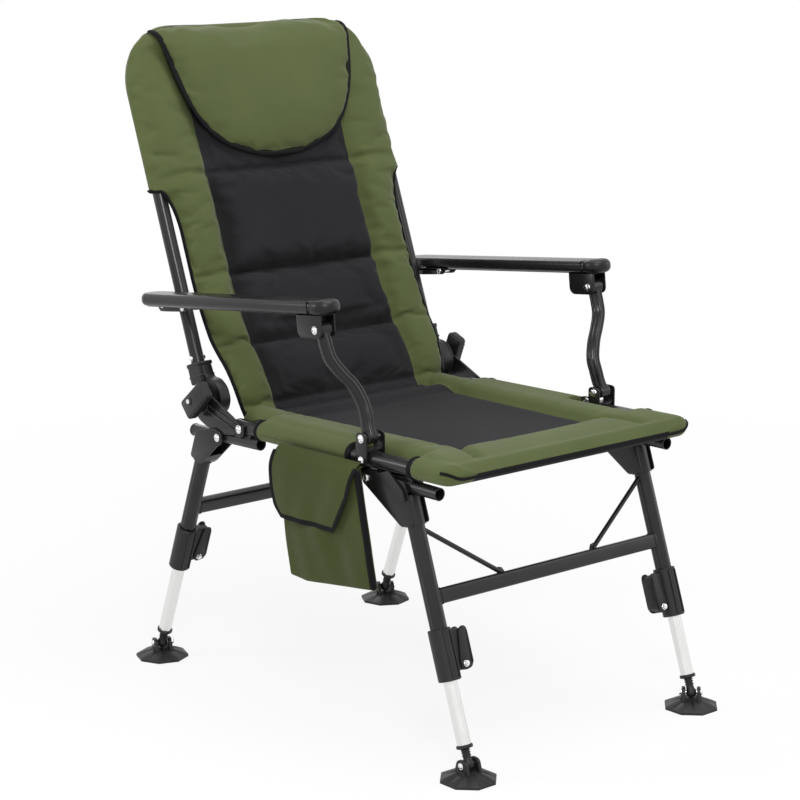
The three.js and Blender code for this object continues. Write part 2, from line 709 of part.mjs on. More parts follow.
function bagFlap(parent) {
  const hingeX = BAG_INNER_X + BAG_DEPTH + PIVOT_GAP + FLAP_THICKNESS * HALF;
  const hingeZ = railHeight(FLAP_FRONT_TOP) - FLAP_LIFT;
  const slope = (y) => railHeight(y) - FLAP_LIFT - hingeZ;
  const hinge = movingGroup(parent, "bag_flap_hinge", place(-hingeX, 0, hingeZ));
  const outline = rounded(
    [
      [FLAP_REAR_TOP, slope(FLAP_REAR_TOP)],
      [FLAP_FRONT_TOP, slope(FLAP_FRONT_TOP)],
      [FLAP_CUT_Y, FLAP_CUT_Z - hingeZ],
      [FLAP_LOW_FRONT, FLAP_LOW_Z - hingeZ],
      [FLAP_LOW_REAR, FLAP_LOW_Z - hingeZ],
    ],
    FLAP_THICKNESS * 2,
  );
  piece(hinge, "bag_flap", acrossFrom(outline, -FLAP_THICKNESS * HALF, FLAP_THICKNESS * HALF), bagFabric);
}

// Leg frames. Each is drawn in the frame of its pivot, with z up along the legs.
const CROSSBAR_HEIGHT = 25;
const CROSSBAR_DEPTH = 20;
const CROSSBAR_CORNER = 6;
const COLLAR_RADIUS = 16.6;
const COLLAR_SIDE = 15.5;
const WEB_START = 52;
const GUSSET_NOSE = 12;
const CLAMP_LENGTH = 82;
const CLAMP_SEAT = 12;
const CLAMP_RADIUS = 18.5;
const CLAMP_CHAMFER = 2;
const LUG_REACH = 40;
const LUG_HALF = 8;
const LUG_TOP = 76;
const CLAMP_BOLT_REACH = 30;
const CLAMP_BOLT_RISE = 20;
const CLAMP_BOLT_RADIUS = 3;
const CHEEK_GAP = 0.4;
const LEVER_HALF = 11;
const LEVER_WEB = 6.5;
const LEVER_TOP = 79;
const INNER_TUBE_LENGTH = 246;
const FLANGE_RADIUS = 13.5;
const FLANGE_RISE = 26.5;
const FLANGE_THICKNESS = 4;
const NECK_RADIUS = 6.4;
const BALL_RADIUS = 9.2;
const BALL_STEPS = 3;
const PLUG_LENGTH = 18;
const FOOT_RADIUS = 47;
const FOOT_SIDES = 8;
const FOOT_RIM = 5;
const FOOT_DOME = 16.4;
const EAR_INSIDE = 9.8;
const EAR_THICKNESS = 6;
const EAR_RADIUS = 11;
const EAR_SINK = 18;
const FOOT_BOLT_RADIUS = 3.2;
const FOOT_HEAD_RADIUS = 6;
const FOOT_HEAD = 4;
const DOME_SHARES = [[0.62, 0.6], [0.3, 0.9], [0, 1]];

const frontLegs = {
  name: "front",
  x: FRONT_LEG_X,
  pivot: place(0, FRONT_PIVOT_Y, FRONT_PIVOT_Z),
  lean: -FRONT_LEAN,
  legY: -FRONT_OFFSET,
  top: FRONT_TOP_DROP,
  gusset: FRONT_GUSSET_DROP,
  bar: FRONT_BAR_DROP,
  clamp: FRONT_CLAMP_DROP,
};
const rearLegs = {
  name: "rear",
  x: REAR_LEG_X,
  pivot: place(0, REAR_PIVOT_Y, REAR_PIVOT_Z),
  lean: REAR_LEAN,
  legY: REAR_OFFSET,
  top: REAR_TOP_DROP,
  gusset: REAR_GUSSET_DROP,
  bar: REAR_BAR_DROP,
  clamp: REAR_CLAMP_DROP,
};

function gussetCheek(legs) {
  const hand = Math.sign(legs.legY);
  const outerY = legs.legY + hand * COLLAR_SIDE;
  const innerY = legs.legY - hand * COLLAR_SIDE;
  const nose = GUSSET_NOSE;
  const corners = [
    [-hand * nose, -nose * HALF],
    [-hand * nose, nose * HALF],
    [-hand * nose * HALF, nose],
    [hand * nose, nose],
    [outerY, -legs.top * HALF],
    [outerY, -legs.gusset],
    [innerY, -legs.gusset],
    [-hand * nose * HALF, -nose],
  ];
  return { shape: rounded(corners, nose * HALF), start: corners[6], end: corners[7] };
}

function outerLeg(group, name, legs) {
  const tubeTop = place(legs.x, legs.legY, -legs.top);
  const tubeEnd = place(legs.x, legs.legY, -legs.clamp + CLAMP_SEAT + GAP);
  const tube = tubing([tubeEnd, tubeTop], LEG_RADIUS);
  const collarTop = tubeTop.clone().setZ(-legs.top - SHEET);
  const collar = tubing([place(legs.x, legs.legY, -legs.gusset), collarTop], COLLAR_RADIUS);
  const { shape, start, end } = gussetCheek(legs);
  const cheeks = [
    acrossFrom(shape, legs.x - CHEEK_OUTSIDE, legs.x - CHEEK_INSIDE),
    acrossFrom(shape, legs.x + CHEEK_INSIDE, legs.x + CHEEK_OUTSIDE),
  ];
  const run = new THREE.Vector2(end[0] - start[0], end[1] - start[1]).normalize();
  const side = new THREE.Vector2(-run.y, run.x).multiplyScalar(Math.sign(legs.legY) * -SHEET);
  const near = new THREE.Vector2(...start);
  let far = near.clone();
  while (far.clone().addScaledVector(run, SHEET).length() > WEB_START) far.addScaledVector(run, SHEET);
  const web = new THREE.Shape([near, far, far.clone().add(side), near.clone().add(side)]);
  const strip = acrossFrom(web, legs.x - CHEEK_INSIDE - GAP, legs.x + CHEEK_INSIDE + GAP);
  const boreEnds = [tubeEnd.z - OVERRUN, collarTop.z - LEG_RADIUS].map((z) => tubeEnd.clone().setZ(z));
  const bore = tubing(boreEnds, around(INNER_TUBE_RADIUS));
  const hole = boltRoom(LEG_BOLT_RADIUS, legs.x * HALF, legs.x * 2);
  piece(group, name, cut(join(tube, collar, ...cheeks, strip), bore, hole), blackPaint);
}

// The space that a leg needs in the bars and rods that end against it
function legRoom(legs) {
  return [-legs.x, legs.x].map((x) => {
    const ends = [place(x, legs.legY, -legs.clamp), place(x, legs.legY, 0)];
    return tubing(ends, around(LEG_RADIUS));
  });
}

// A length of the crossbar's section, grown outward or shrunk inward by a margin
function barLength(legs, margin) {
  const [half, deep] = [CROSSBAR_HEIGHT * HALF + margin, CROSSBAR_DEPTH * HALF + margin];
  const section = rounded([[-deep, -half], [deep, -half], [deep, half], [-deep, half]], CROSSBAR_CORNER);
  return acrossFrom(section, -legs.x, legs.x).translate(0, legs.legY, -legs.bar);
}

function crossbar(group, legs) {
  const hollow = cut(barLength(legs, 0), barLength(legs, -TUBE_WALL), ...legRoom(legs));
  piece(group, `${legs.name}_crossbar`, hollow, blackPaint);
}

// Brace rods run from the front legs, under the gussets, down to the front crossbar
const ROD_RADIUS = 4;
const ROD_TOP_RISE = 38;
const ROD_FOOT_X = 104;

function braceRod(group, side) {
  const top = place(FRONT_LEG_X - LEG_RADIUS * HALF, -FRONT_OFFSET, ROD_TOP_RISE - FRONT_GUSSET_DROP);
  const foot = place(ROD_FOOT_X, -FRONT_OFFSET, -FRONT_BAR_DROP + CROSSBAR_HEIGHT * HALF - ROD_RADIUS);
  const run = foot.clone().sub(top).normalize();
  const rod = tubing([top, foot.addScaledVector(run, ROD_RADIUS)], ROD_RADIUS, 0, BOLT_SIDES);
  const barRoom = barLength(frontLegs, GAP);
  const collar = tubing(
    [place(FRONT_LEG_X, -FRONT_OFFSET, -FRONT_GUSSET_DROP - GAP), place(FRONT_LEG_X, -FRONT_OFFSET, 0)],
    around(COLLAR_RADIUS),
  );
  const cheek = block(
    place(FRONT_LEG_X - CHEEK_OUTSIDE - GAP, -FRONT_OFFSET * 2, -FRONT_GUSSET_DROP - GAP),
    place(FRONT_LEG_X, 0, 0),
  );
  piece(group, `brace_rod_${side}`, cut(rod, barRoom, collar, cheek, ...legRoom(frontLegs)), blackPaint);
}

// Spring clip on the outer cheek of a front gusset
const CLIP_THICKNESS = 6;
const CLIP_TOP_Y = -44;
const CLIP_TOP_Z = -6;
const CLIP_LOW_Y = -86;
const CLIP_LOW_Z = -50;
const CLIP_WIDTH = 17;
const CLIP_TAIL = 12;

function legClip(group, side) {
  const outline = rounded(
    [
      [CLIP_TOP_Y, CLIP_TOP_Z],
      [CLIP_TOP_Y, CLIP_TOP_Z + CLIP_WIDTH * HALF],
      [CLIP_TOP_Y - CLIP_WIDTH, CLIP_TOP_Z + CLIP_WIDTH * HALF],
      [CLIP_LOW_Y, CLIP_LOW_Z + CLIP_WIDTH],
      [CLIP_LOW_Y, CLIP_LOW_Z],
      [CLIP_LOW_Y + CLIP_TAIL, CLIP_LOW_Z],
    ],
    CLIP_TAIL * HALF * HALF,
  );
  const inner = FRONT_LEG_X + CHEEK_OUTSIDE + GAP;
  piece(group, `leg_clip_${side}`, acrossFrom(outline, inner, inner + CLIP_THICKNESS), blackPlastic);
}

// Leg clamp: a collar over the end of the outer leg, with a lug that carries the cam lever
function legClamp(group, name, legs) {
  const seatBore = around(LEG_RADIUS);
  const tubeBore = around(INNER_TUBE_RADIUS);
  const collar = spun([
    [tubeBore, 0],
    [CLAMP_RADIUS - CLAMP_CHAMFER, 0],
    [CLAMP_RADIUS, CLAMP_CHAMFER],
    [CLAMP_RADIUS, CLAMP_LENGTH - CLAMP_CHAMFER],
    [CLAMP_RADIUS - CLAMP_CHAMFER, CLAMP_LENGTH],
    [seatBore, CLAMP_LENGTH],
    [seatBore, CLAMP_SEAT],
    [tubeBore, CLAMP_SEAT],
    [tubeBore, 0],
  ]);
  const round = LUG_REACH - CLAMP_BOLT_REACH;
  const lug = rounded(
    [
      [-seatBore - CLAMP_CHAMFER * HALF, CLAMP_BOLT_RISE + round],
      [-seatBore - CLAMP_CHAMFER * HALF, LUG_TOP],
      [-LUG_REACH, LUG_TOP],
      [-LUG_REACH, CLAMP_BOLT_RISE],
      [-CLAMP_BOLT_REACH - round * HALF, CLAMP_BOLT_RISE - round * (1 - HALF * HALF)],
      [-CLAMP_BOLT_REACH, CLAMP_BOLT_RISE - round],
      [-CLAMP_BOLT_REACH + round * HALF, CLAMP_BOLT_RISE - round * (1 - HALF * HALF)],
    ],
    CLAMP_CHAMFER * 2,
  );
  const head = CLAMP_BOLT_RADIUS * HEAD_SHARE;
  const outside = LEVER_HALF + GAP;
  const pin = headedPin(CLAMP_BOLT_RADIUS, head, CLAMP_BOLT_RADIUS, outside)
    .rotateZ(QUARTER_TURN)
    .translate(-CLAMP_BOLT_REACH, 0, CLAMP_BOLT_RISE);
  const made = join(collar, backFrom(lug, -LUG_HALF, LUG_HALF), pin);
  piece(group, name, made.translate(legs.x, legs.legY, -legs.clamp), blackPlastic);
}

function clampLever(group, name, hingeName, legs) {
  const hingeAt = place(legs.x - CLAMP_BOLT_REACH, legs.legY, -legs.clamp + CLAMP_BOLT_RISE);
  const hinge = movingGroup(group, hingeName, hingeAt);
  const round = LUG_REACH - CLAMP_BOLT_REACH;
  const web = round + CHEEK_GAP;
  const top = LEVER_TOP - CLAMP_BOLT_RISE;
  const outline = rounded(
    [
      [round * HALF, -round],
      [round, 0],
      [0, top - LEVER_WEB],
      [-round * HALF, top],
      [-web - LEVER_WEB * HALF, top],
      [-web - LEVER_WEB, top - LEVER_WEB],
      [-web - LEVER_WEB, 0],
      [-round, -round],
    ],
    LEVER_WEB,
  );
  const slot = block(
    place(-web, -LUG_HALF - CHEEK_GAP, -round * 2),
    place(LEVER_TOP, LUG_HALF + CHEEK_GAP, LEVER_TOP),
  );
  const hole = boltRoom(CLAMP_BOLT_RADIUS, -LEVER_TOP, LEVER_TOP).rotateZ(QUARTER_TURN);
  piece(hinge, name, cut(backFrom(outline, -LEVER_HALF, LEVER_HALF), slot, hole), blackPlastic);
}

// Inner tube with its end plug and ball, drawn upward from the centre of the ball
function innerTube(group, name) {
  const arc = Array.from({ length: BALL_STEPS + 1 }, (_, step) => {
    const neckAngle = Math.asin(NECK_RADIUS / BALL_RADIUS);
    const angle = Math.PI - ((Math.PI - neckAngle) * step) / BALL_STEPS;
    return [step === 0 ? 0 : BALL_RADIUS * Math.sin(angle), BALL_RADIUS * Math.cos(angle)];
  });
  const flangeTop = FLANGE_RISE + FLANGE_THICKNESS;
  const profile = [
    ...arc,
    [NECK_RADIUS, FLANGE_RISE],
    [FLANGE_RADIUS, FLANGE_RISE],
    [FLANGE_RADIUS, flangeTop],
    [INNER_TUBE_RADIUS, flangeTop],
    [INNER_TUBE_RADIUS, flangeTop + INNER_TUBE_LENGTH],
    [INNER_TUBE_RADIUS - TUBE_WALL, flangeTop + INNER_TUBE_LENGTH],
    [INNER_TUBE_RADIUS - TUBE_WALL, flangeTop + PLUG_LENGTH],
    [0, flangeTop + PLUG_LENGTH],
  ];
  piece(group, name, spun(profile), aluminium);
}

// Foot: an eight-sided domed plate with two ears and the bolt through the ball
function mudFoot(group, name) {
  const domed = DOME_SHARES.map(([radius, rise]) => [
    FOOT_RADIUS * radius,
    FOOT_RIM + (FOOT_DOME - FOOT_RIM) * rise,
  ]);
  const plate = [[0, 0], [FOOT_RADIUS, 0], [FOOT_RADIUS, FOOT_RIM], ...domed];
  const dome = spun(plate, FOOT_SIDES).translate(0, 0, -BALL_HEIGHT);
  const floor = -BALL_HEIGHT + FOOT_RIM;
  const ear = rounded(
    [[-EAR_SINK, floor], [EAR_SINK, floor], [EAR_RADIUS, EAR_RADIUS], [-EAR_RADIUS, EAR_RADIUS]],
    EAR_RADIUS * HALF,
  );
  const outside = EAR_INSIDE + EAR_THICKNESS;
  const ears = [acrossFrom(ear, EAR_INSIDE, outside), acrossFrom(ear, -outside, -EAR_INSIDE)];
  const pin = headedPin(FOOT_BOLT_RADIUS, FOOT_HEAD_RADIUS, FOOT_HEAD, outside);
  piece(group, name, join(dome, ...ears, pin), blackPlastic);
}

const ballHole = (turn) => boltRoom(FOOT_BOLT_RADIUS, -FOOT_RADIUS, FOOT_RADIUS).rotateZ(turn);

function telescope(group, legs, side, turn) {
  const ballDrop = (legs.pivot.z - BALL_HEIGHT + legs.legY * Math.sin(legs.lean)) / Math.cos(legs.lean);
  const slide = movingGroup(group, `${legs.name}_slide_${side}`, place(legs.x, legs.legY, -ballDrop));
  const name = `inner_tube_${legs.name}_${side}`;
  innerTube(slide, name);
  const tube = slide.children[0];
  tube.geometry = cut(tube.geometry, ballHole(turn).rotateX(-legs.lean));
  const ball = movingGroup(slide, `${legs.name}_ball_${side}`, place(0, 0, 0), -legs.lean);
  const turnTable = new THREE.Group();
  turnTable.rotation.z = turn;
  ball.add(turnTable);
  mudFoot(turnTable, `mud_foot_${legs.name}_${side}`);
}

// Each foot's bolt points its own way: 0 across the chair
const footTurns = {
  front: { left: 0, right: -45 * DEGREE },
  rear: { left: 20 * DEGREE, right: -30 * DEGREE },
};

function legFrame(legs) {
  const frame = movingGroup(chair, `${legs.name}_legs`, legs.pivot, legs.lean);
  crossbar(frame, legs);
  bothSides(frame, (group, side) => {
    outerLeg(group, `${legs.name}_leg_${side}`, legs);
    legClamp(group, `leg_clamp_${legs.name}_${side}`, legs);
    clampLever(group, `clamp_lever_${legs.name}_${side}`, `${legs.name}_lever_${side}`, legs);
    telescope(group, legs, side, footTurns[legs.name][side]);
    if (legs === frontLegs) {
      braceRod(group, side);
      legClip(group, side);
    }
  });
}

// Backrest, drawn in the frame of its hinge: z up along the back, y behind it
const back = movingGroup(chair, "recline", place(0, HINGE_Y, HINGE_Z), -BACK_LEAN);

function backTubePath() {
  const spot = (x, z) => place(x, BACK_TUBE_N, z);
  const ends = [
    spot(-BACK_TUBE_X, BACK_TUBE_FOOT),
    spot(-BACK_TUBE_X, BACK_TUBE_TOP),
    spot(BACK_TUBE_X, BACK_TUBE_TOP),
    spot(BACK_TUBE_X, BACK_TUBE_FOOT),
  ];
  return bent(ends, BACK_TUBE_BEND);
}

// The armrest bolts pass through the tube at both sides
const ARM_REAR_BOLT_RADIUS = 4;

function backFrame() {
  const tube = tubing(backTubePath(), BACK_TUBE_RADIUS, BACK_TUBE_RADIUS - TUBE_WALL);
  const holes = [
    boltRoom(ARM_REAR_BOLT_RADIUS, -BACK_TUBE_X * 2, -BACK_TUBE_X * HALF),
    boltRoom(ARM_REAR_BOLT_RADIUS, BACK_TUBE_X * HALF, BACK_TUBE_X * 2),
  ].map((room) => room.translate(0, BACK_TUBE_N, ARM_REAR_RISE));
  piece(back, "back_frame_tube", cut(tube, ...holes), blackPaint);
}

// Recline socket: a sleeve round the foot of the back tube on a toothed disc
const SOCKET_TOP = 62;
const SOCKET_WALL = 4;
const DISC_INNER = -8;

function reclineSocket(group, side) {
  const disc = toothed(DISC_RADIUS, BACK_TUBE_X + DISC_INNER, BACK_TUBE_X + DISC_SPLIT);
  const reach = BACK_TUBE_RADIUS + SOCKET_WALL;
  const sleeve = rounded(
    [
      [BACK_TUBE_N - reach, 0],
      [BACK_TUBE_N + reach, 0],
      [BACK_TUBE_N + reach, SOCKET_TOP],
      [BACK_TUBE_N - reach, SOCKET_TOP],
    ],
    SOCKET_WALL,
  );
  const narrow = BACK_TUBE_X + BACK_TUBE_RADIUS + SHEET * HALF;
  const housing = acrossFrom(sleeve, BACK_TUBE_X - reach, narrow);
  const hingeRoom = bar(DISC_RADIUS + DISC_SPLIT, BACK_TUBE_X + DISC_SPLIT, BACK_TUBE_X * 2);
  const tubeEnds = [BACK_TUBE_FOOT - GAP, SOCKET_TOP + OVERRUN];
  const tubeSpots = tubeEnds.map((z) => place(BACK_TUBE_X, BACK_TUBE_N, z));
  const tubeRoom = tubing(tubeSpots, around(BACK_TUBE_RADIUS));
  const made = cut(join(disc, housing), hingeRoom, screwRoom(), tubeRoom);
  piece(group, `recline_socket_${side}`, made, blackPlastic);
}

// Back cushion
const COVER_FOOT = 76;
const COVER_TOP = 657;
const COVER_WRAP_WIDTH = 275;
const COVER_SLIM_WIDTH = 242;
const COVER_SLEEVE_END = 346;
const COVER_SLEEVE_RUN = 12;
const COVER_DEPTH = 44;
const COVER_EDGE_N = 8;
const COVER_SHEET_N = 12;
const COVER_ROUND = 120;
const COVER_TOP_WIDTH = 170;
const COVER_CHANNELS = [205, 391];
const CHANNEL_SHARE = 0.2;
const CHANNEL_WIDTH = 14;
const CHANNEL_STATION_SHARES = [-2, -0.5, 0, 0.5, 2];
const COVER_SEAM_X = 172;
const COVER_PANEL_SHARES = [0, 0.5, 0.88];
const PANEL_DEPTH_SHARES = [1, 0.99, 0.93];
const COVER_BORDER_SHARES = [0, 0.15, 0.45, 0.75, 0.92, 1];
const BORDER_DEPTH_SHARES = [0.76, 0.93, 1, 0.84, 0.5, 0.08];
const BORDER_BACK_SHARES = [0.3, 0.3, 0.5, 1, 0.95, 0.1];
const COVER_BACK = 14.5;

const roundedWidth = (t) => {
  const share = Math.min(1, Math.max(0, (t - (COVER_TOP - COVER_ROUND)) / COVER_ROUND));
  return COVER_TOP_WIDTH + (COVER_WRAP_WIDTH - COVER_TOP_WIDTH) * Math.sqrt(1 - share ** 2);
};
const sleeveWidths = [
  [COVER_SLEEVE_END - COVER_SLEEVE_RUN, COVER_SLIM_WIDTH],
  [COVER_SLEEVE_END, COVER_WRAP_WIDTH],
];
const coverHalf = (t) => (t < COVER_SLEEVE_END ? read(sleeveWidths, t) : roundedWidth(t));
const coverSeam = (t) => Math.min(COVER_SEAM_X, coverHalf(t) * PANEL_DEPTH_SHARES.at(-1));
const panelDepths = [
  ...COVER_PANEL_SHARES.map((share, index) => [share, PANEL_DEPTH_SHARES[index]]),
  [1, BORDER_DEPTH_SHARES[0]],
];
const borderDepths = COVER_BORDER_SHARES.map((share, index) => [share, BORDER_DEPTH_SHARES[index]]);

function coverDepth(x, t) {
  const seam = coverSeam(t);
  const across = Math.abs(x);
  const border = (across - seam) / (coverHalf(t) - seam);
  const share = across < seam ? read(panelDepths, across / seam) : read(borderDepths, border);
  const channel = Math.max(...COVER_CHANNELS.map((at) => Math.exp(-(((t - at) / CHANNEL_WIDTH) ** 2))));
  const dipShare = across < seam + GAP ? CHANNEL_SHARE * channel : 0;
  const ends = Math.min(1, Math.max(0, (COVER_TOP - t) / BACK_TUBE_BEND)) ** HALF;
  const top = t > COVER_TOP - BACK_TUBE_BEND ? HALF + HALF * ends : 1;
  return COVER_DEPTH * (share - dipShare) * top;
}

function coverGrid(shift) {
  const bend = COVER_TOP - COVER_ROUND;
  const stations = [
    COVER_FOOT,
    ...COVER_CHANNELS.flatMap((at) => CHANNEL_STATION_SHARES.map((share) => at + CHANNEL_WIDTH * share)),
    (COVER_CHANNELS[0] + COVER_CHANNELS[1]) * HALF,
    COVER_SLEEVE_END - COVER_SLEEVE_RUN,
    COVER_SLEEVE_END,
    (COVER_CHANNELS[1] + bend) * HALF,
    bend,
    COVER_TOP - BACK_TUBE_BEND,
    COVER_TOP - BACK_TUBE_BEND * HALF,
    COVER_TOP - BACK_TUBE_BEND * HALF * HALF * HALF,
    COVER_TOP,
  ].sort((low, high) => low - high);
  return stations.map((t) => {
    const half = coverHalf(t);
    const seam = coverSeam(t);
    const outward = [
      ...COVER_PANEL_SHARES.map((share) => [seam * share, BORDER_BACK_SHARES[0]]),
      ...COVER_BORDER_SHARES.map((share, index) => [seam + (half - seam) * share, BORDER_BACK_SHARES[index]]),
    ];
    const columns = [...outward.slice(1).reverse().map(([x, share]) => [-x, share]), ...outward];
    const wraps = t >= COVER_SLEEVE_END ? 1 : 0;
    const middle = wraps ? COVER_EDGE_N : COVER_EDGE_N - COVER_SHEET_N;
    const top = t > COVER_TOP - BACK_TUBE_BEND ? 1 : 0;
    return columns.map(([x, backShare]) => {
      const behind = wraps ? COVER_BACK * Math.max(backShare, top) : COVER_SHEET_N * HALF;
      const front = middle - coverDepth(x, t) * (wraps ? 1 : (COVER_DEPTH - COVER_SHEET_N) / COVER_DEPTH);
      return [place(x, front + shift, t), place(x, middle + behind, t)];
    });
  });
}

function backCushion() {
  const radius = around(BACK_TUBE_RADIUS);
  piece(back, "back_cushion", cut(between(coverGrid(0)), tubing(backTubePath(), radius)), greenFabric);
}

// Headrest pillow: plump, straight along the top and rounded below
const PILLOW_FOOT = 412;
const PILLOW_HEIGHT = 238;
const PILLOW_HALF_WIDTH = 205;
const PILLOW_DEPTH = 34;
const PILLOW_EDGE = 3;
const PILLOW_ROWS_SHARES = [
  [0, 0.2],
  [0.05, 0.42],
  [0.13, 0.63],
  [0.27, 0.79],
  [0.46, 0.88],
  [0.7, 0.95],
  [0.87, 0.99],
  [0.96, 1],
  [1, 0.96],
];
const PILLOW_COLUMN_SHARES = [-1, -0.96, -0.84, -0.6, -0.3, 0, 0.3, 0.6, 0.84, 0.96, 1];

function headrestPillow() {
  const rows = PILLOW_ROWS_SHARES.map(([rise, width]) => {
    const t = PILLOW_FOOT + PILLOW_HEIGHT * rise;
    const lift = Math.sqrt(Math.max(0, 1 - (2 * rise - 1) ** 2));
    return PILLOW_COLUMN_SHARES.map((share) => {
      const x = PILLOW_HALF_WIDTH * width * share;
      const bulge = Math.sqrt(Math.max(0, 1 - share ** 2)) * lift;
      const front = COVER_EDGE_N - COVER_DEPTH - PILLOW_EDGE - (PILLOW_DEPTH - PILLOW_EDGE) * bulge;
      return [place(x, front, t), place(x, COVER_EDGE_N - COVER_DEPTH * HALF, t)];
    });
  });
  piece(back, "headrest_pillow", cut(between(rows), between(coverGrid(-PIVOT_GAP))), greenFabric);
}

// Fabric fall between the back cushion and the seat
const FALL_THICKNESS = 7;
const FALL_GAP = 1;
const FALL_ROW_SHARES = [0, 0.3, 0.65, 1];
const FALL_COLUMN_SHARES = [-1, -0.7, 0, 0.7, 1];
const FALL_BELLY = 10;

function backPoint(n, t) {
  const [sine, cosine] = [Math.sin(BACK_LEAN), Math.cos(BACK_LEAN)];
  return { y: HINGE_Y + n * cosine + t * sine, z: HINGE_Z - n * sine + t * cosine };
}

function creaseFabric() {
  const from = { y: SEAT_REAR_Y + FALL_GAP, z: railHeight(SEAT_REAR_Y) + SEAT_SHEET_DEPTH };
  const to = backPoint(COVER_EDGE_N - COVER_SHEET_N - COVER_DEPTH * HALF, COVER_FOOT - FALL_GAP);
  const run = new THREE.Vector2(to.y - from.y, to.z - from.z).normalize();
  const rows = FALL_ROW_SHARES.map((share) => {
    const belly = FALL_BELLY * Math.sin(Math.PI * share);
    const y = from.y + (to.y - from.y) * share + run.y * belly;
    const z = from.z + (to.z - from.z) * share - run.x * belly;
    return FALL_COLUMN_SHARES.map((column) => [
      place(SEAT_CUT_WIDTH * column, y, z),
      place(SEAT_CUT_WIDTH * column, y + run.y * FALL_THICKNESS, z - run.x * FALL_THICKNESS),
    ]);
  });
  piece(chair, "crease_fabric", between(rows), blackFabric);
}

// Recline knob: a hub with one long wing on the clamping screw
const KNOB_GAP = 0.4;
const HUB_RADIUS = 15;
const HUB_LENGTH = 13;
const WING_LENGTH = 50;
const WING_HALF = 15;
const WING_TIP_HALF = 9;
const WING_THICKNESS = 13;
const KNOB_ANGLES = { left: 55 * DEGREE, right: 0 };

function reclineKnob(side, hand) {
  const knob = movingGroup(chair, `recline_knob_axis_${side}`, place(0, HINGE_Y, HINGE_Z));
  const start = BRACKET_INNER + BRACKET_THICKNESS + KNOB_GAP;
  const hubEnd = start + HUB_LENGTH;
  const hub = turned([
    [0, BACK_TUBE_X + DISC_INNER],
    [SCREW_RADIUS, BACK_TUBE_X + DISC_INNER],
    [SCREW_RADIUS, start],
    [HUB_RADIUS, start],
    [HUB_RADIUS, hubEnd],
    [0, hubEnd],
  ]);
  const wing = rounded(
    [
      [-WING_HALF, -WING_HALF],
      [WING_HALF, -WING_HALF],
      [WING_TIP_HALF, WING_LENGTH],
      [-WING_TIP_HALF, WING_LENGTH],
    ],
    WING_TIP_HALF,
  );
  const paddle = acrossFrom(wing, hubEnd - OVERRUN, hubEnd - OVERRUN + WING_THICKNESS);
  const turnTable = new THREE.Group();
  turnTable.scale.x = hand;
  turnTable.rotation.x = KNOB_ANGLES[side];
  knob.add(turnTable);
  piece(turnTable, `recline_knob_${side}`, join(hub, paddle), blackPlastic);
}

// Armrest: a padded bar with a rear bracket on the back tube and a front bracket over the arm support
const ARM_WIDTH = 48;
const ARM_THICKNESS = 22;
const ARM_BEVEL = 5;
const ARM_BEHIND = 60;
const ARM_NOSE = 33.894;
const ARM_LIFT = 8.3;
const REAR_BRACKET_BEHIND = 12;
const REAR_BRACKET_AHEAD = 68;
const REAR_BRACKET_DROP = 11;
const REAR_CHEEK_INNER = 277;
const REAR_CHEEK_OUTER = 303;
const FRONT_CHEEK = 12.5;
const FRONT_BRACKET_AHEAD = 14;
const FRONT_BRACKET_BEHIND = 44;
const FRONT_BRACKET_DROP = 13;
const OPEN_PIVOT_PLAY = 3.7;
const ARM_FRONT_BOLT_RADIUS = 3;

const armRearSpot = backPoint(BACK_TUBE_N, ARM_REAR_RISE);
const armRear = place(0, armRearSpot.y, armRearSpot.z);

// The place of the front pivot in the frame of the armrest
const armFront = place(0, ARM_FRONT_Y, ARM_FRONT_Z).sub(armRear).applyAxisAngle(X, ARM_SLOPE);

function armBar() {
  const half = ARM_WIDTH * HALF - ARM_BEVEL;
  const shape = new THREE.Shape();
  shape.absarc(0, armFront.y - ARM_NOSE + ARM_WIDTH * HALF, half, Math.PI, 2 * Math.PI);
  shape.absarc(0, ARM_BEHIND - ARM_WIDTH * HALF, half, 0, Math.PI);
  const settings = {
    depth: ARM_THICKNESS - 2 * ARM_BEVEL,
    bevelSize: ARM_BEVEL,
    bevelThickness: ARM_BEVEL,
    bevelSegments: 1,
    curveSegments: TUBE_SIDES * HALF,
  };
  const low = ARM_LIFT - ARM_THICKNESS * HALF + ARM_BEVEL;
  return new THREE.ExtrudeGeometry(shape, settings).translate(ARM_X, 0, low);
}

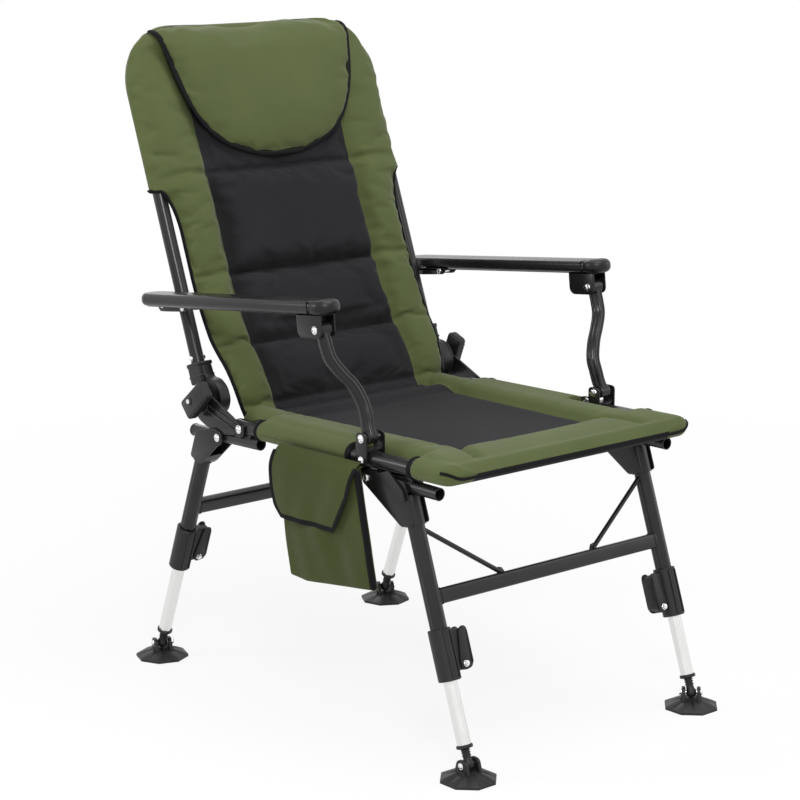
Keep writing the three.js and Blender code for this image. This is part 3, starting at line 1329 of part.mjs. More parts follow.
function armrest(group, side) {
  const floor = ARM_LIFT - ARM_THICKNESS * HALF;
  const rearCheek = rounded(
    [
      [-REAR_BRACKET_AHEAD, floor + SHEET],
      [-REAR_BRACKET_AHEAD, floor - SHEET],
      [-REAR_BRACKET_BEHIND, -REAR_BRACKET_DROP],
      [REAR_BRACKET_BEHIND, -REAR_BRACKET_DROP],
      [REAR_BRACKET_BEHIND, floor + SHEET],
    ],
    SHEET,
  );
  const { y, z } = armFront;
  const frontCheek = rounded(
    [
      [y - FRONT_BRACKET_AHEAD, floor + SHEET],
      [y - FRONT_BRACKET_AHEAD, z - FRONT_BRACKET_DROP * HALF],
      [y - FRONT_BRACKET_DROP * HALF, z - FRONT_BRACKET_DROP],
      [y + FRONT_BRACKET_DROP, z - FRONT_BRACKET_DROP],
      [y + FRONT_BRACKET_BEHIND, floor - SHEET],
      [y + FRONT_BRACKET_BEHIND, floor + SHEET],
    ],
    SHEET,
  );
  const cheeks = [
    acrossFrom(rearCheek, REAR_CHEEK_INNER, REAR_CHEEK_INNER + SHEET),
    acrossFrom(rearCheek, REAR_CHEEK_OUTER, REAR_CHEEK_OUTER + SHEET),
    acrossFrom(frontCheek, ARM_X - FRONT_CHEEK - SHEET, ARM_X - FRONT_CHEEK),
    acrossFrom(frontCheek, ARM_X + FRONT_CHEEK, ARM_X + FRONT_CHEEK + SHEET),
  ];
  const rearWeb = block(
    place(REAR_CHEEK_INNER, -REAR_BRACKET_AHEAD, floor - SHEET),
    place(REAR_CHEEK_OUTER + SHEET, -REAR_BRACKET_BEHIND, floor + SHEET),
  );
  const frontWeb = block(
    place(ARM_X - FRONT_CHEEK - SHEET, y - FRONT_BRACKET_AHEAD, floor - SHEET),
    place(ARM_X + FRONT_CHEEK + SHEET, y + FRONT_BRACKET_BEHIND, floor + SHEET),
  );
  const outside = ARM_X + ARM_WIDTH;
  const tools = [
    boltRoom(ARM_REAR_BOLT_RADIUS, BACK_TUBE_X, outside),
    boltRoom(ARM_REAR_BOLT_RADIUS * HEAD_SHARE, REAR_CHEEK_OUTER + SHEET, outside),
    boltRoom(ARM_FRONT_BOLT_RADIUS, BACK_TUBE_X, outside).translate(0, y, z),
  ];
  piece(group, `armrest_${side}`, cut(join(armBar(), ...cheeks, rearWeb, frontWeb), ...tools), softPlastic);
}

function frontArmBolt(group, side) {
  const reach = FRONT_CHEEK + SHEET + GAP;
  const front = bolt(ARM_FRONT_BOLT_RADIUS, ARM_X - reach, ARM_X + reach);
  piece(group, `armrest_front_bolt_${side}`, front.translate(0, armFront.y, armFront.z), chrome);
}

function rearArmBolt(group, side) {
  const inside = BACK_TUBE_X - BACK_TUBE_RADIUS - GAP;
  const collarFrom = BACK_TUBE_X + BACK_TUBE_RADIUS + GAP;
  const collar = [collarFrom, REAR_CHEEK_INNER - GAP, ARM_REAR_BOLT_RADIUS / LEG_COLLAR_SHARE];
  const rear = bolt(ARM_REAR_BOLT_RADIUS, inside, REAR_CHEEK_OUTER + SHEET + GAP, [collar]);
  piece(group, `armrest_rear_bolt_${side}`, rear.translate(0, BACK_TUBE_N, ARM_REAR_RISE), chrome);
}

// Arm support: an oval tube that swings on the arm bracket. Its route is in shares of the way
// from its foot to its head, across, backward and up.
const SUPPORT_WIDTH = 21;
const SUPPORT_DEPTH = 18;
const SUPPORT_FOOT_X = 261;
const SUPPORT_EYE = 11;
const HEAD_EYE = 13;
const SUPPORT_ROUTE_SHARES = [
  [0, 0, 0],
  [-0.04, 0.12, 0.1],
  [-0.07, 0.2, 0.2],
  [-0.04, 0.33, 0.32],
  [0.21, 0.47, 0.475],
  [0.6, 0.62, 0.6],
  [0.92, 0.76, 0.73],
  [1, 0.88, 0.86],
  [1, 1, 1],
];
const SUPPORT_STEPS = 10;

function armSupport(side, hand) {
  const hinge = movingGroup(chair, `arm_support_${side}_axis`, place(0, ARM_FOOT_Y, ARM_FOOT_Z));
  const mirror = new THREE.Group();
  mirror.scale.x = hand;
  hinge.add(mirror);
  const rise = ARM_FRONT_Z - ARM_FOOT_Z;
  const sweep = ARM_FRONT_Y - ARM_FOOT_Y;
  const route = SUPPORT_ROUTE_SHARES.map(([across, backward, up]) =>
    place(SUPPORT_FOOT_X + (ARM_X - SUPPORT_FOOT_X) * across, sweep * backward, rise * up),
  );
  const smooth = new THREE.CatmullRomCurve3(route, false, "centripetal").getSpacedPoints(SUPPORT_STEPS);
  const half = SUPPORT_WIDTH * HALF;
  const oval = circle(1, TUBE_SIDES).map(({ x, y }) => new THREE.Vector2(x * SUPPORT_DEPTH * HALF, y * half));
  const footEye = bar(SUPPORT_EYE, SUPPORT_FOOT_X - half, SUPPORT_FOOT_X + half, TUBE_SIDES);
  const headEye = bar(HEAD_EYE, ARM_X - half, ARM_X + half, TUBE_SIDES).translate(0, sweep, rise);
  const footHole = boltRoom(ARM_BOLT_RADIUS, SUPPORT_FOOT_X * HALF, SUPPORT_FOOT_X * 2);
  const headRadius = around(ARM_FRONT_BOLT_RADIUS + OPEN_PIVOT_PLAY);
  const headHole = bar(headRadius, ARM_X * HALF, ARM_X * 2, TUBE_SIDES).translate(0, sweep, rise);
  const body = join(along(smooth, new THREE.Shape(oval)), footEye, headEye);
  piece(mirror, `arm_support_${side}`, cut(body, footHole, headHole), blackPaint);
}

seatFrame();
bothSides(chair, (group, side) => {
  armBracket(group, side);
  armBolt(group, side);
  lowerTube(group, `lower_tube_front_${side}`, frontTube);
  lowerTube(group, `lower_tube_rear_${side}`, rearTube);
  legBolt(group, `leg_pivot_bolt_front_${side}`, frontTube);
  legBolt(group, `leg_pivot_bolt_rear_${side}`, rearTube);
  reclineBracket(group, side);
  if (side === "left") sideBag(group);
});
seatCushion();
bagFlap(chair);
legFrame(frontLegs);
legFrame(rearLegs);
backFrame();
backCushion();
headrestPillow();
bothSides(back, (group, side) => {
  reclineSocket(group, side);
  rearArmBolt(group, side);
});
creaseFabric();
const arms = movingGroup(chair, "armrest_axis", armRear, -ARM_SLOPE);
bothSides(arms, (group, side) => {
  armrest(group, side);
  frontArmBolt(group, side);
});
for (const [side, hand] of [["left", -1], ["right", 1]]) {
  armSupport(side, hand);
  reclineKnob(side, hand);
}

// The origin lies on the ground, in the middle of the space that the chair fills
const room = new THREE.Box3().setFromObject(chair, true);
chair.position.x = -(room.min.x + room.max.x) * HALF;
chair.position.y = -(room.min.y + room.max.y) * HALF;
chair.position.z = -room.min.z;

export default chair;
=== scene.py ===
"""The looks of a folding fishing chair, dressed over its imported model, in millimetres until placed."""

import json
import math
from collections import namedtuple

import bmesh
import bpy
import numpy as np
from mathutils import Matrix, Vector, kdtree


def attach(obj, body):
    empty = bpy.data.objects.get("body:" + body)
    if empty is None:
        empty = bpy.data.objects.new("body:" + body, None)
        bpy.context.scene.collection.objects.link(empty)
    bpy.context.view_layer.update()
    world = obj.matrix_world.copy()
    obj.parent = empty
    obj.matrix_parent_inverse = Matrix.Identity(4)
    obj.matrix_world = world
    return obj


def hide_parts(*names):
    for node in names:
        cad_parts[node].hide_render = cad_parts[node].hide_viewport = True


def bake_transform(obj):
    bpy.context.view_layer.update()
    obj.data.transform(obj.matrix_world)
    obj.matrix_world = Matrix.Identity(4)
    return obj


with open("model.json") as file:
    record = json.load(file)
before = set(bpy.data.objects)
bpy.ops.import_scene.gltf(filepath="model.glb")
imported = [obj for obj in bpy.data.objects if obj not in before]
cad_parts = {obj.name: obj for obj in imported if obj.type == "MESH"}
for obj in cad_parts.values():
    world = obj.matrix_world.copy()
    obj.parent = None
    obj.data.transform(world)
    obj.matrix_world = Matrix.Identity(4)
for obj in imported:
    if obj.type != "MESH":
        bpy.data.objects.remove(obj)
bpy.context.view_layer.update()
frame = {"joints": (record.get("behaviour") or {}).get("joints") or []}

MM = 0.001
DEGREE = math.pi / 180
QUARTER_TURN = 90 * DEGREE
rng = np.random.default_rng(11)

# The chair's driving sizes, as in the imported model
RAIL_X, RAIL_FRONT_Y, RAIL_REAR_Y, RAIL_HEIGHT, RAIL_BEND = 260, -262, 262, 471.9, 32
REAR_CROSS_Y = 235
SEAT_PITCH = 1.36 * DEGREE
RAIL_RADIUS, CROSS_RADIUS, LOWER_TUBE_RADIUS, LEG_RADIUS = 13.5, 11.5, 10.5, 13.75
INNER_TUBE_RADIUS, BACK_TUBE_RADIUS, TUBE_WALL, SHEET = 11.25, 12, 1.6, 2.5
HINGE_Y, HINGE_Z, BACK_LEAN = 346.6, 500, 20.3 * DEGREE
BACK_TUBE_X, BACK_TUBE_N, BACK_TUBE_FOOT, BACK_TUBE_TOP, BACK_TUBE_BEND = 260, 8, 29, 643, 100
ARM_REAR_RISE, ARM_SLOPE, ARM_X = 173.1, 6.04 * DEGREE, 303
ARM_FOOT_Y, ARM_FOOT_Z, ARM_FRONT_Y, ARM_FRONT_Z = -81, 508, -15.5, 677
CHEEK_INSIDE = 14.3
CHEEK_OUTSIDE = CHEEK_INSIDE + SHEET
GAP = 0.3
HANDS = {"left": -1, "right": 1}

# A leg frame: where it pivots, how it leans, and what it carries, measured down the leg
Legs = namedtuple("Legs", "name x y z lean offset top gusset bar clamp stub saddles")
FRONT = Legs("front", 255, -85, 445, -19.14 * DEGREE, -74.3, 43, 88.7, 205.8, 337, (155, 42, 0), (-58, -176))
REAR = Legs("rear", 264, 297, 442, 20.3 * DEGREE, 42.7, 35.5, 70, 169.3, 293, (100, 85, -2.16 * DEGREE),
            (224, 250))


# Places: each is a matrix from a group's own millimetres to the frame's
def shifted(x, y, z):
    return np.array(Matrix.Translation((x, y, z)))


def tilted(angle, axis="X"):
    return np.array(Matrix.Rotation(angle, 4, axis))


def joint_spot(name):
    return np.array(next(joint["pos_m"] for joint in frame["joints"] if joint["name"] == name)) / MM


CHAIR = shifted(0, joint_spot("recline")[1] - HINGE_Y, 0)
HINGE = CHAIR @ shifted(0, HINGE_Y, HINGE_Z)
BACK = HINGE @ tilted(-BACK_LEAN)
arm_rear = (BACK @ [0, BACK_TUBE_N, ARM_REAR_RISE, 1])[:3]
ARMS = shifted(*arm_rear) @ tilted(-ARM_SLOPE)
arm_front = (np.linalg.inv(ARMS) @ CHAIR @ [0, ARM_FRONT_Y, ARM_FRONT_Z, 1])[:3]


def leg_place(legs):
    return CHAIR @ shifted(0, legs.y, legs.z) @ tilted(legs.lean)


def rail_height(y):
    return RAIL_HEIGHT - y * math.tan(SEAT_PITCH)


def placed(points, place):
    """Points in a group's millimetres, as metres in the frame."""
    points = np.asarray(points, float).reshape(-1, 3)
    return (points @ place[:3, :3].T + place[:3, 3]) * MM


def unit(vectors):
    return vectors / np.linalg.norm(vectors, axis=-1, keepdims=True)


def smooth(low, high, value):
    share = np.clip((value - low) / (high - low), 0, 1)
    return share * share * (3 - 2 * share)


# Outlines and lines
def rounded(corners, radius, steps=4):
    """An outline through corners, each rounded by one radius."""
    corners = [np.array(corner, float) for corner in corners]
    outline = []
    for index, corner in enumerate(corners):
        before, after = corners[index - 1] - corner, corners[(index + 1) % len(corners)] - corner
        into = corner + before * min(radius / np.linalg.norm(before), 0.5)
        out = corner + after * min(radius / np.linalg.norm(after), 0.5)
        for share in np.arange(steps + 1) / steps:
            outline.append(into * (1 - share) ** 2 + 2 * corner * share * (1 - share) + out * share**2)
    return outline


def bent(corners, radius, steps=10):
    """A line of places with a round bend at each inner corner."""
    corners = [np.array(corner, float) for corner in corners]
    places = [corners[0]]
    for before, corner, after in zip(corners, corners[1:], corners[2:]):
        into, out = unit(corner - before), unit(after - corner)
        turn = math.acos(np.clip(into @ out, -1, 1))
        centre = corner + unit(out - into) * radius / math.cos(turn / 2)
        arm = Vector(corner - into * radius * math.tan(turn / 2) - centre)
        axis = Vector(np.cross(into, out)).normalized()
        for k in range(steps + 1):
            places.append(np.array(Matrix.Rotation(turn * k / steps, 3, axis) @ arm) + centre)
    return [*places, corners[-1]]


def curved(points, steps):
    """A smooth line through points."""
    points = np.asarray(points, float)
    padded = np.vstack([2 * points[0] - points[1], points, 2 * points[-1] - points[-2]])
    line = []
    for k in range(1, len(padded) - 2):
        a, b, c, d = padded[k - 1 : k + 3]
        for share in np.linspace(0, 1, steps, endpoint=False):
            line.append(0.5 * (2 * b + (c - a) * share + (2 * a - 5 * b + 4 * c - d) * share**2
                               + (3 * b - a - 3 * c + d) * share**3))
    return np.array([*line, points[-1]])


def circle(sides):
    return np.arange(sides) * 2 * math.pi / sides


def ring(radius, sides, grooves=(), depth=0.0, width=0.16):
    """A round section, with lengthwise grooves at the given angles."""
    angles = circle(sides)
    reach = np.full(sides, float(radius))
    for groove in grooves:
        away = np.angle(np.exp(1j * (angles - groove)))
        reach -= depth * np.exp(-((away / width) ** 2))
    return np.stack([reach * np.cos(angles), reach * np.sin(angles)], 1)


FLUTES = circle(6)


# Solids, as (points, faces) pairs
def bands(rows, sides, width=None, start=0):
    """The four-sided faces between neighbouring closed rows of points."""
    width = width or sides
    pairs = [(row * width + start + k, row * width + start + (k + 1) % sides)
             for row in range(rows - 1) for k in range(sides)]
    return [(a, b, b + width, a + width) for a, b in pairs]


def prism(outline, low, high, across="x"):
    count = len(outline)
    order = {"x": (2, 0, 1), "y": (0, 2, 1), "z": (0, 1, 2)}[across]
    points = np.array([[a, b, depth] for depth in (low, high) for a, b in outline], float)[:, order]
    ends = [tuple(range(count)), tuple(range(2 * count - 1, count - 1, -1))]
    return points, ends + bands(2, count)


def block(low, high):
    (x0, y0, z0), (x1, y1, z1) = low, high
    return prism([(y0, z0), (y1, z0), (y1, z1), (y0, z1)], x0, x1)


def sweep(places, section, bore=None, up=(1, 0, 0)):
    """A section carried along a line of places without twist, closed by flat ends or, with a bore, open."""
    places = np.asarray(places, float)
    steps = unit(np.diff(places, axis=0))
    tangents = unit(np.vstack([steps[:1], steps[:-1] + steps[1:], steps[-1:]]))
    side = np.array(up, float)
    profile = np.vstack([section] if bore is None else [section, bore])
    rows = []
    for spot, tangent in zip(places, tangents):
        side = unit(side - tangent * (side @ tangent))
        other = np.cross(tangent, side)
        rows.append([spot + side * a + other * b for a, b in profile])
    count, width, last = len(section), len(profile), len(places) - 1
    faces = bands(len(places), count, width)
    if bore is None:
        faces.append(tuple(range(count - 1, -1, -1)))
        faces.append(tuple(last * width + k for k in range(count)))
    else:
        faces += [face[::-1] for face in bands(len(places), count, width, count)]
        for k in range(count):
            a, b = k, (k + 1) % count
            faces.append((b, a, a + count, b + count))
            faces.append(tuple(last * width + place for place in (a, b, b + count, a + count)))
    return np.array(rows).reshape(-1, 3), faces


def lathe(profile, sides=32, along="x"):
    """A turned piece from (radius, station) pairs. The ends lie on the axis, or the profile closes."""
    points = [(r * math.cos(a), r * math.sin(a), s) for r, s in profile for a in circle(sides)]
    order = {"x": (2, 0, 1), "y": (1, 2, 0), "z": (0, 1, 2)}[along]
    return np.array(points, float)[:, order], bands(len(profile), sides)


def bar(radius, low, high, sides=32, along="x", edge=0.6):
    half = [(0, low), (radius - edge, low), (radius, low + edge)]
    return lathe([*half, (radius, high - edge), (radius - edge, high), (0, high)], sides, along)


def band(inner, outer, low, high, chamfer=0.0, sides=48):
    """A closed ring about x, whose high face is narrower by a chamfer."""
    foot = (inner, low)
    return lathe([foot, (outer, low), (outer - chamfer, high), (inner + chamfer, high), foot], sides)


def moved(part, x=0, y=0, z=0):
    return part[0] + np.array([x, y, z], float), part[1]


def turned(part, angle, axis="X"):
    return part[0] @ tilted(angle, axis)[:3, :3].T, part[1]


def mirrored(part):
    return part[0] * [-1, 1, 1], [face[::-1] for face in part[1]]


def bevelled(part, width, segments=2):
    """A solid with its sharp edges rounded."""
    mesh = bmesh.new()
    spots = [mesh.verts.new(point) for point in part[0]]
    for face in part[1]:
        if len(set(face)) > 2:
            mesh.faces.new([spots[k] for k in face])
    bmesh.ops.remove_doubles(mesh, verts=mesh.verts, dist=0.001)
    bmesh.ops.recalc_face_normals(mesh, faces=mesh.faces)
    sharp = [edge for edge in mesh.edges if edge.is_manifold and edge.calc_face_angle(0) > 0.6]
    bmesh.ops.bevel(mesh, geom=sharp, offset=width, segments=segments, affect="EDGES", profile=0.5,
                    clamp_overlap=True)
    mesh.verts.index_update()
    points = np.array([vert.co for vert in mesh.verts])
    faces = [tuple(vert.index for vert in face.verts) for face in mesh.faces]
    mesh.free()
    return points, faces


def plate(outline, radius, low, high, edge, across="x", steps=4, segments=2):
    """A prism of an outline with round corners, its edges rounded too."""
    return bevelled(prism(rounded(outline, radius, steps), low, high, across), edge, segments)


# Materials
def new_material(name, roughness, metallic=0.0, **sockets):
    made = bpy.data.materials.new(name)
    made.use_nodes = True
    shader = made.node_tree.nodes["Principled BSDF"]
    for socket, value in {"Roughness": roughness, "Metallic": metallic, **sockets}.items():
        shader.inputs[socket.replace("_", " ")].default_value = value
    return made, made.node_tree, shader


def wire(tree, kind, settings=None, **links):
    """A node with its settings. Its inputs, by name or as i and a number, take values or other outputs."""
    made = tree.nodes.new(kind)
    for key, value in (settings or {}).items():
        setattr(made, key, value)
    for key, value in links.items():
        socket = made.inputs[int(key[1:]) if key[1:].isdigit() else key.replace("_", " ")]
        if isinstance(value, bpy.types.NodeSocket):
            tree.links.new(value, socket)
        else:
            socket.default_value = value
    return made


def maths(tree, operation, first, second=0.0, third=0.5):
    return wire(tree, "ShaderNodeMath", {"operation": operation}, i0=first, i1=second, i2=third).outputs[0]


def mapped(tree, value, low, high, **links):
    return wire(tree, "ShaderNodeMapRange", Value=value, To_Min=low, To_Max=high, **links).outputs[0]


def object_place(tree):
    return tree.nodes.new("ShaderNodeTexCoord").outputs["Object"]


def noisy(tree, scale, detail=2.0, vector=None):
    place = vector or object_place(tree)
    return wire(tree, "ShaderNodeTexNoise", Vector=place, Scale=scale, Detail=detail).outputs[0]


def bump(tree, height, strength, distance, **links):
    return wire(tree, "ShaderNodeBump", Height=height, Strength=strength, Distance=distance, **links).outputs[0]


def shade(color, amount):
    return tuple(min(1.0, channel * amount) for channel in color)


def shades(tree, factor, color, low, high):
    """A colour that runs from a darker to a lighter shade, with (place, amount) at each end."""
    made = wire(tree, "ShaderNodeValToRGB", Fac=factor)
    for element, (place, amount) in zip(made.color_ramp.elements, (low, high)):
        element.position = place
        element.color = (*shade(color, amount), 1)
    return made.outputs[0]


def feed(tree, shader, **outputs):
    for name, output in outputs.items():
        tree.links.new(output, shader.inputs[name.replace("_", " ")])


def painted(name, color, roughness, grain=900.0, depth=0.00004, spread=0.14):
    """Powder coat or moulded plastic: fine grain, and edges worn a little lighter."""
    made, tree, shader = new_material(name, roughness, Specular_IOR_Level=0.32)
    broad, fine = noisy(tree, 14.0, 3.0), noisy(tree, grain)
    edge = wire(tree, "ShaderNodeNewGeometry").outputs["Pointiness"]
    worn = maths(tree, "MULTIPLY", mapped(tree, edge, 0.0, 1.0, From_Min=0.52, From_Max=0.62), broad)
    base = shades(tree, broad, color, (0.3, 0.88), (0.7, 1.15))
    mixed = wire(tree, "ShaderNodeMix", {"data_type": "RGBA"}, i0=worn, i6=base, i7=(*shade(color, 2.4), 1))
    feed(tree, shader, Base_Color=mixed.outputs[2], Normal=bump(tree, fine, 0.5, depth),
         Roughness=mapped(tree, broad, roughness - spread / 2, roughness + spread / 2))
    return made


def metal(name, color, roughness, brushed=(1, 1, 1)):
    made, tree, shader = new_material(name, roughness, 1.0)
    place = wire(tree, "ShaderNodeMapping", Vector=object_place(tree), Scale=brushed).outputs[0]
    lines, broad = noisy(tree, 700.0, 3.0, place), noisy(tree, 30.0)
    feed(tree, shader, Base_Color=shades(tree, lines, color, (0.2, 0.9), (0.8, 1.06)),
         Roughness=mapped(tree, broad, roughness - 0.05, roughness + 0.08),
         Normal=bump(tree, lines, 0.4, 0.00002))
    return made


def woven(name, color, thread=0.9, variation=0.1, sheen=0.12, depth=0.00012, specular=0.3):
    """Plain weave on a piece's own cloth coordinates, in metres, with uneven dye and fine creases."""
    made, tree, shader = new_material(name, 0.88, Sheen_Weight=sheen, Sheen_Roughness=0.4,
                                      Specular_IOR_Level=specular)
    cloth_place = tree.nodes.new("ShaderNodeUVMap").outputs[0]
    split = wire(tree, "ShaderNodeSeparateXYZ", Vector=cloth_place)
    wave = math.pi / (thread * MM)
    warp, weft = [maths(tree, "SINE", maths(tree, "MULTIPLY", split.outputs[k], wave)) for k in (0, 1)]
    weave = maths(tree, "MULTIPLY_ADD", maths(tree, "MULTIPLY", warp, weft), 0.5)
    uneven = maths(tree, "ADD", maths(tree, "MULTIPLY", noisy(tree, 9.0, 3.0), 0.6),
                   maths(tree, "MULTIPLY", noisy(tree, 420.0), 0.4))
    base = shades(tree, uneven, color, (0.3, 1 - variation), (0.7, 1 + variation))
    mixed = wire(tree, "ShaderNodeMix", {"data_type": "RGBA", "blend_type": "MULTIPLY"},
                 i0=mapped(tree, weave, 0.0, 0.28), i6=base, i7=(0.7, 0.7, 0.7, 1))
    crumple = wire(tree, "ShaderNodeTexNoise", Vector=object_place(tree), Scale=38.0, Detail=4.0,
                   Roughness=0.55)
    soft = bump(tree, crumple.outputs[0], 0.35, 0.0016)
    feed(tree, shader, Base_Color=mixed.outputs[2], Normal=bump(tree, weave, 0.6, depth, Normal=soft))
    return made


paint = painted("black_powder_coat", (0.009, 0.009, 0.009), 0.26, spread=0.08)
plastic = painted("black_moulded_plastic", (0.010, 0.010, 0.010), 0.46, grain=500.0, depth=0.00008)
grip = painted("armrest_plastic", (0.013, 0.013, 0.014), 0.27, grain=650.0, depth=0.00005, spread=0.08)
cap_plastic = painted("moulded_cap", (0.0045, 0.0045, 0.0047), 0.4)
chrome = metal("bright_plate", (0.80, 0.80, 0.81), 0.16)
aluminium = metal("drawn_aluminium", (0.78, 0.79, 0.77), 0.30, brushed=(1, 1, 0.02))
green = woven("olive_green_polyester", (0.086, 0.108, 0.036))
bag_green = woven("thin_olive_polyester", (0.044, 0.058, 0.012), thread=0.7, variation=0.14)
black = woven("black_polyester", (0.019, 0.019, 0.021), variation=0.16, sheen=0.03, specular=0.14)
binding = woven("black_binding_tape", (0.009, 0.009, 0.010), thread=1.3, sheen=0.0, depth=0.0002, specular=0.12)
yarn = painted("stitching_thread", (0.022, 0.028, 0.012), 0.7, grain=2400.0)


# Pieces
def finished(name, points, faces, materials, picks, angle=35):
    mesh = bpy.data.meshes.new(name)
    mesh.from_pydata([tuple(point) for point in points], [], faces)
    for made in materials:
        mesh.materials.append(made)
    mesh.polygons.foreach_set("material_index", picks)
    mesh.validate()
    mesh.shade_smooth()
    mesh.set_sharp_from_angle(angle=angle * DEGREE)
    piece = bpy.data.objects.new(name, mesh)
    bpy.context.scene.collection.objects.link(piece)
    return piece


def belongs(piece, body, nodes=()):
    """Says which body a piece rides, and the solids it stands for. With no body, a piece rides none."""
    if body:
        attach(piece, body)
    if nodes:
        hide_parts(*nodes)


def made_of(made, *parts):
    return [(part, made) for part in parts]


def at_spot(parts, x=0, y=0, z=0):
    return [(moved(part, x, y, z), made) for part, made in parts]


def all_turned(parts, angle, axis="X"):
    return [(turned(part, angle, axis), made) for part, made in parts]


def rigid(name, parts, body, place=CHAIR, hand=1, nodes=()):
    """One piece from (solid, material) pairs. Its parts are drawn at positive x, and mirrored for the left."""
    points, faces, picks, materials = [], [], [], []
    for (spots, sides), made in parts:
        if made not in materials:
            materials.append(made)
        faces += [tuple(len(points) + k for k in face)[::hand] for face in sides]
        picks += [materials.index(made)] * len(sides)
        points.extend(spots * np.array([hand, 1, 1]))
    piece = finished(name, placed(points, place), faces, materials, picks)
    mesh = bmesh.new()
    mesh.from_mesh(piece.data)
    bmesh.ops.remove_doubles(mesh, verts=mesh.verts, dist=0.000001)
    bmesh.ops.recalc_face_normals(mesh, faces=mesh.faces)
    mesh.to_mesh(piece.data)
    mesh.free()
    belongs(piece, body, nodes)


WASHER = 1.2


def bolt_parts(radius, low, high):
    """A bolt along x, on washers: a domed head at the high end, and a six-sided nut at the low end."""
    wide, head, foot = radius * 1.75, high + WASHER, low - WASHER
    shaft = bar(radius * 0.98, foot, head, 20)
    washers = [bar(wide, foot, low, 28, edge=0.2), bar(wide, high, head, 28, edge=0.2)]
    dome = [(0, 0.85), (0.45, 0.82), (1.1, 0.5), (1.35, 0), (0, 0)]
    dome = lathe([(radius * out, head + radius * up) for out, up in dome], 24)
    recess = bar(radius * 0.42, head + radius * 0.3, head + radius * 0.87, 6)
    flats = radius * 1.5
    nut = bevelled(lathe([(0, foot - radius), (flats, foot - radius), (flats, foot), (0, foot)], 6), 0.35)
    return made_of(chrome, shaft, *washers, dome, nut) + made_of(plastic, recess)


def pivot_bolt(name, node, radius, low, high, y, z, hand, body="seat_frame", place=CHAIR, extra=()):
    parts = at_spot(bolt_parts(radius, low, high), y=y, z=z)
    rigid(name, [*parts, *extra], body, place, hand, [node])


def fine(node, parts, body, slot, place=CHAIR, hand=1):
    """A piece that is named after the one solid it stands for."""
    rigid(f"{node}_fine", parts, body, place, hand, [node])


def button(radius, low, high, inset, drop, sides):
    """A disc about x with a chamfer round its high face."""
    return lathe([(0, low), (radius, low), (radius, high - drop), (radius - inset, high), (0, high)], sides)


# Seat frame
def rail_path():
    corners = [(-RAIL_X, RAIL_REAR_Y), (-RAIL_X, RAIL_FRONT_Y), (RAIL_X, RAIL_FRONT_Y), (RAIL_X, RAIL_REAR_Y)]
    return bent([(x, y, rail_height(y)) for x, y in corners], RAIL_BEND)


def seat_frame():
    """The rails' loop with a plug in each end, and the rear cross tube."""
    rail = sweep(rail_path(), ring(RAIL_RADIUS, 32), ring(RAIL_RADIUS - TUBE_WALL, 32), up=(0, 0, 1))
    ends = [(x, REAR_CROSS_Y, rail_height(REAR_CROSS_Y)) for x in (-RAIL_X, RAIL_X)]
    cross = sweep(ends, ring(CROSS_RADIUS, 28), up=(0, 0, 1))
    plug = bar(RAIL_RADIUS - TUBE_WALL - 0.2, RAIL_REAR_Y - 12, RAIL_REAR_Y + 1, along="y")
    plugs = [moved(plug, x, 0, rail_height(RAIL_REAR_Y)) for x in (-RAIL_X, RAIL_X)]
    parts = made_of(paint, rail, cross) + made_of(plastic, *plugs)
    rigid("seat_rails", parts, "seat_frame", nodes=["seat_frame_tube"])


ARM_BRACKET_INSIDE, ARM_BRACKET_LENGTH, ARM_BRACKET_DROP, ARM_BRACKET_RISE = 17, 26, 10, 9
ARM_BRACKET_OUTSIDE = ARM_BRACKET_INSIDE + SHEET


def arm_brackets(side, hand):
    """A saddle with two ears bolted over the rail, and the arm support's pivot between the ears."""
    rail = rail_height(ARM_FOOT_Y)
    front, rear = ARM_FOOT_Y - ARM_BRACKET_LENGTH / 2, ARM_FOOT_Y + ARM_BRACKET_LENGTH / 2
    low, high, top = rail - ARM_BRACKET_DROP, ARM_FOOT_Z + ARM_BRACKET_RISE, rail + RAIL_RADIUS
    ear = [(front, low), (rear, low), (rear, high), (front, high)]
    inner, outer = RAIL_X - ARM_BRACKET_OUTSIDE, RAIL_X + ARM_BRACKET_OUTSIDE
    ears = [plate(ear, 8, x, x + SHEET, 0.5, steps=6) for x in (inner, outer - SHEET)]
    saddle = block((inner + SHEET / 2, front + SHEET, top - 1), (outer - SHEET / 2, rear - SHEET, top + SHEET))
    parts = made_of(paint, *ears, bevelled(saddle, 0.5))
    parts += at_spot(bolt_parts(3.8, inner, outer), y=ARM_FOOT_Y, z=rail - 1)
    rigid(f"arm_bracket_plate_{side}", parts, "seat_frame", hand=hand,
          nodes=[f"arm_bracket_{side}"])
    pivot_bolt(f"arm_pivot_{side}", f"arm_pivot_bolt_{side}", 4, inner, outer, ARM_FOOT_Y, ARM_FOOT_Z, hand)


SADDLE_X, SADDLE_Y, WELD = 8, 9, 1.4


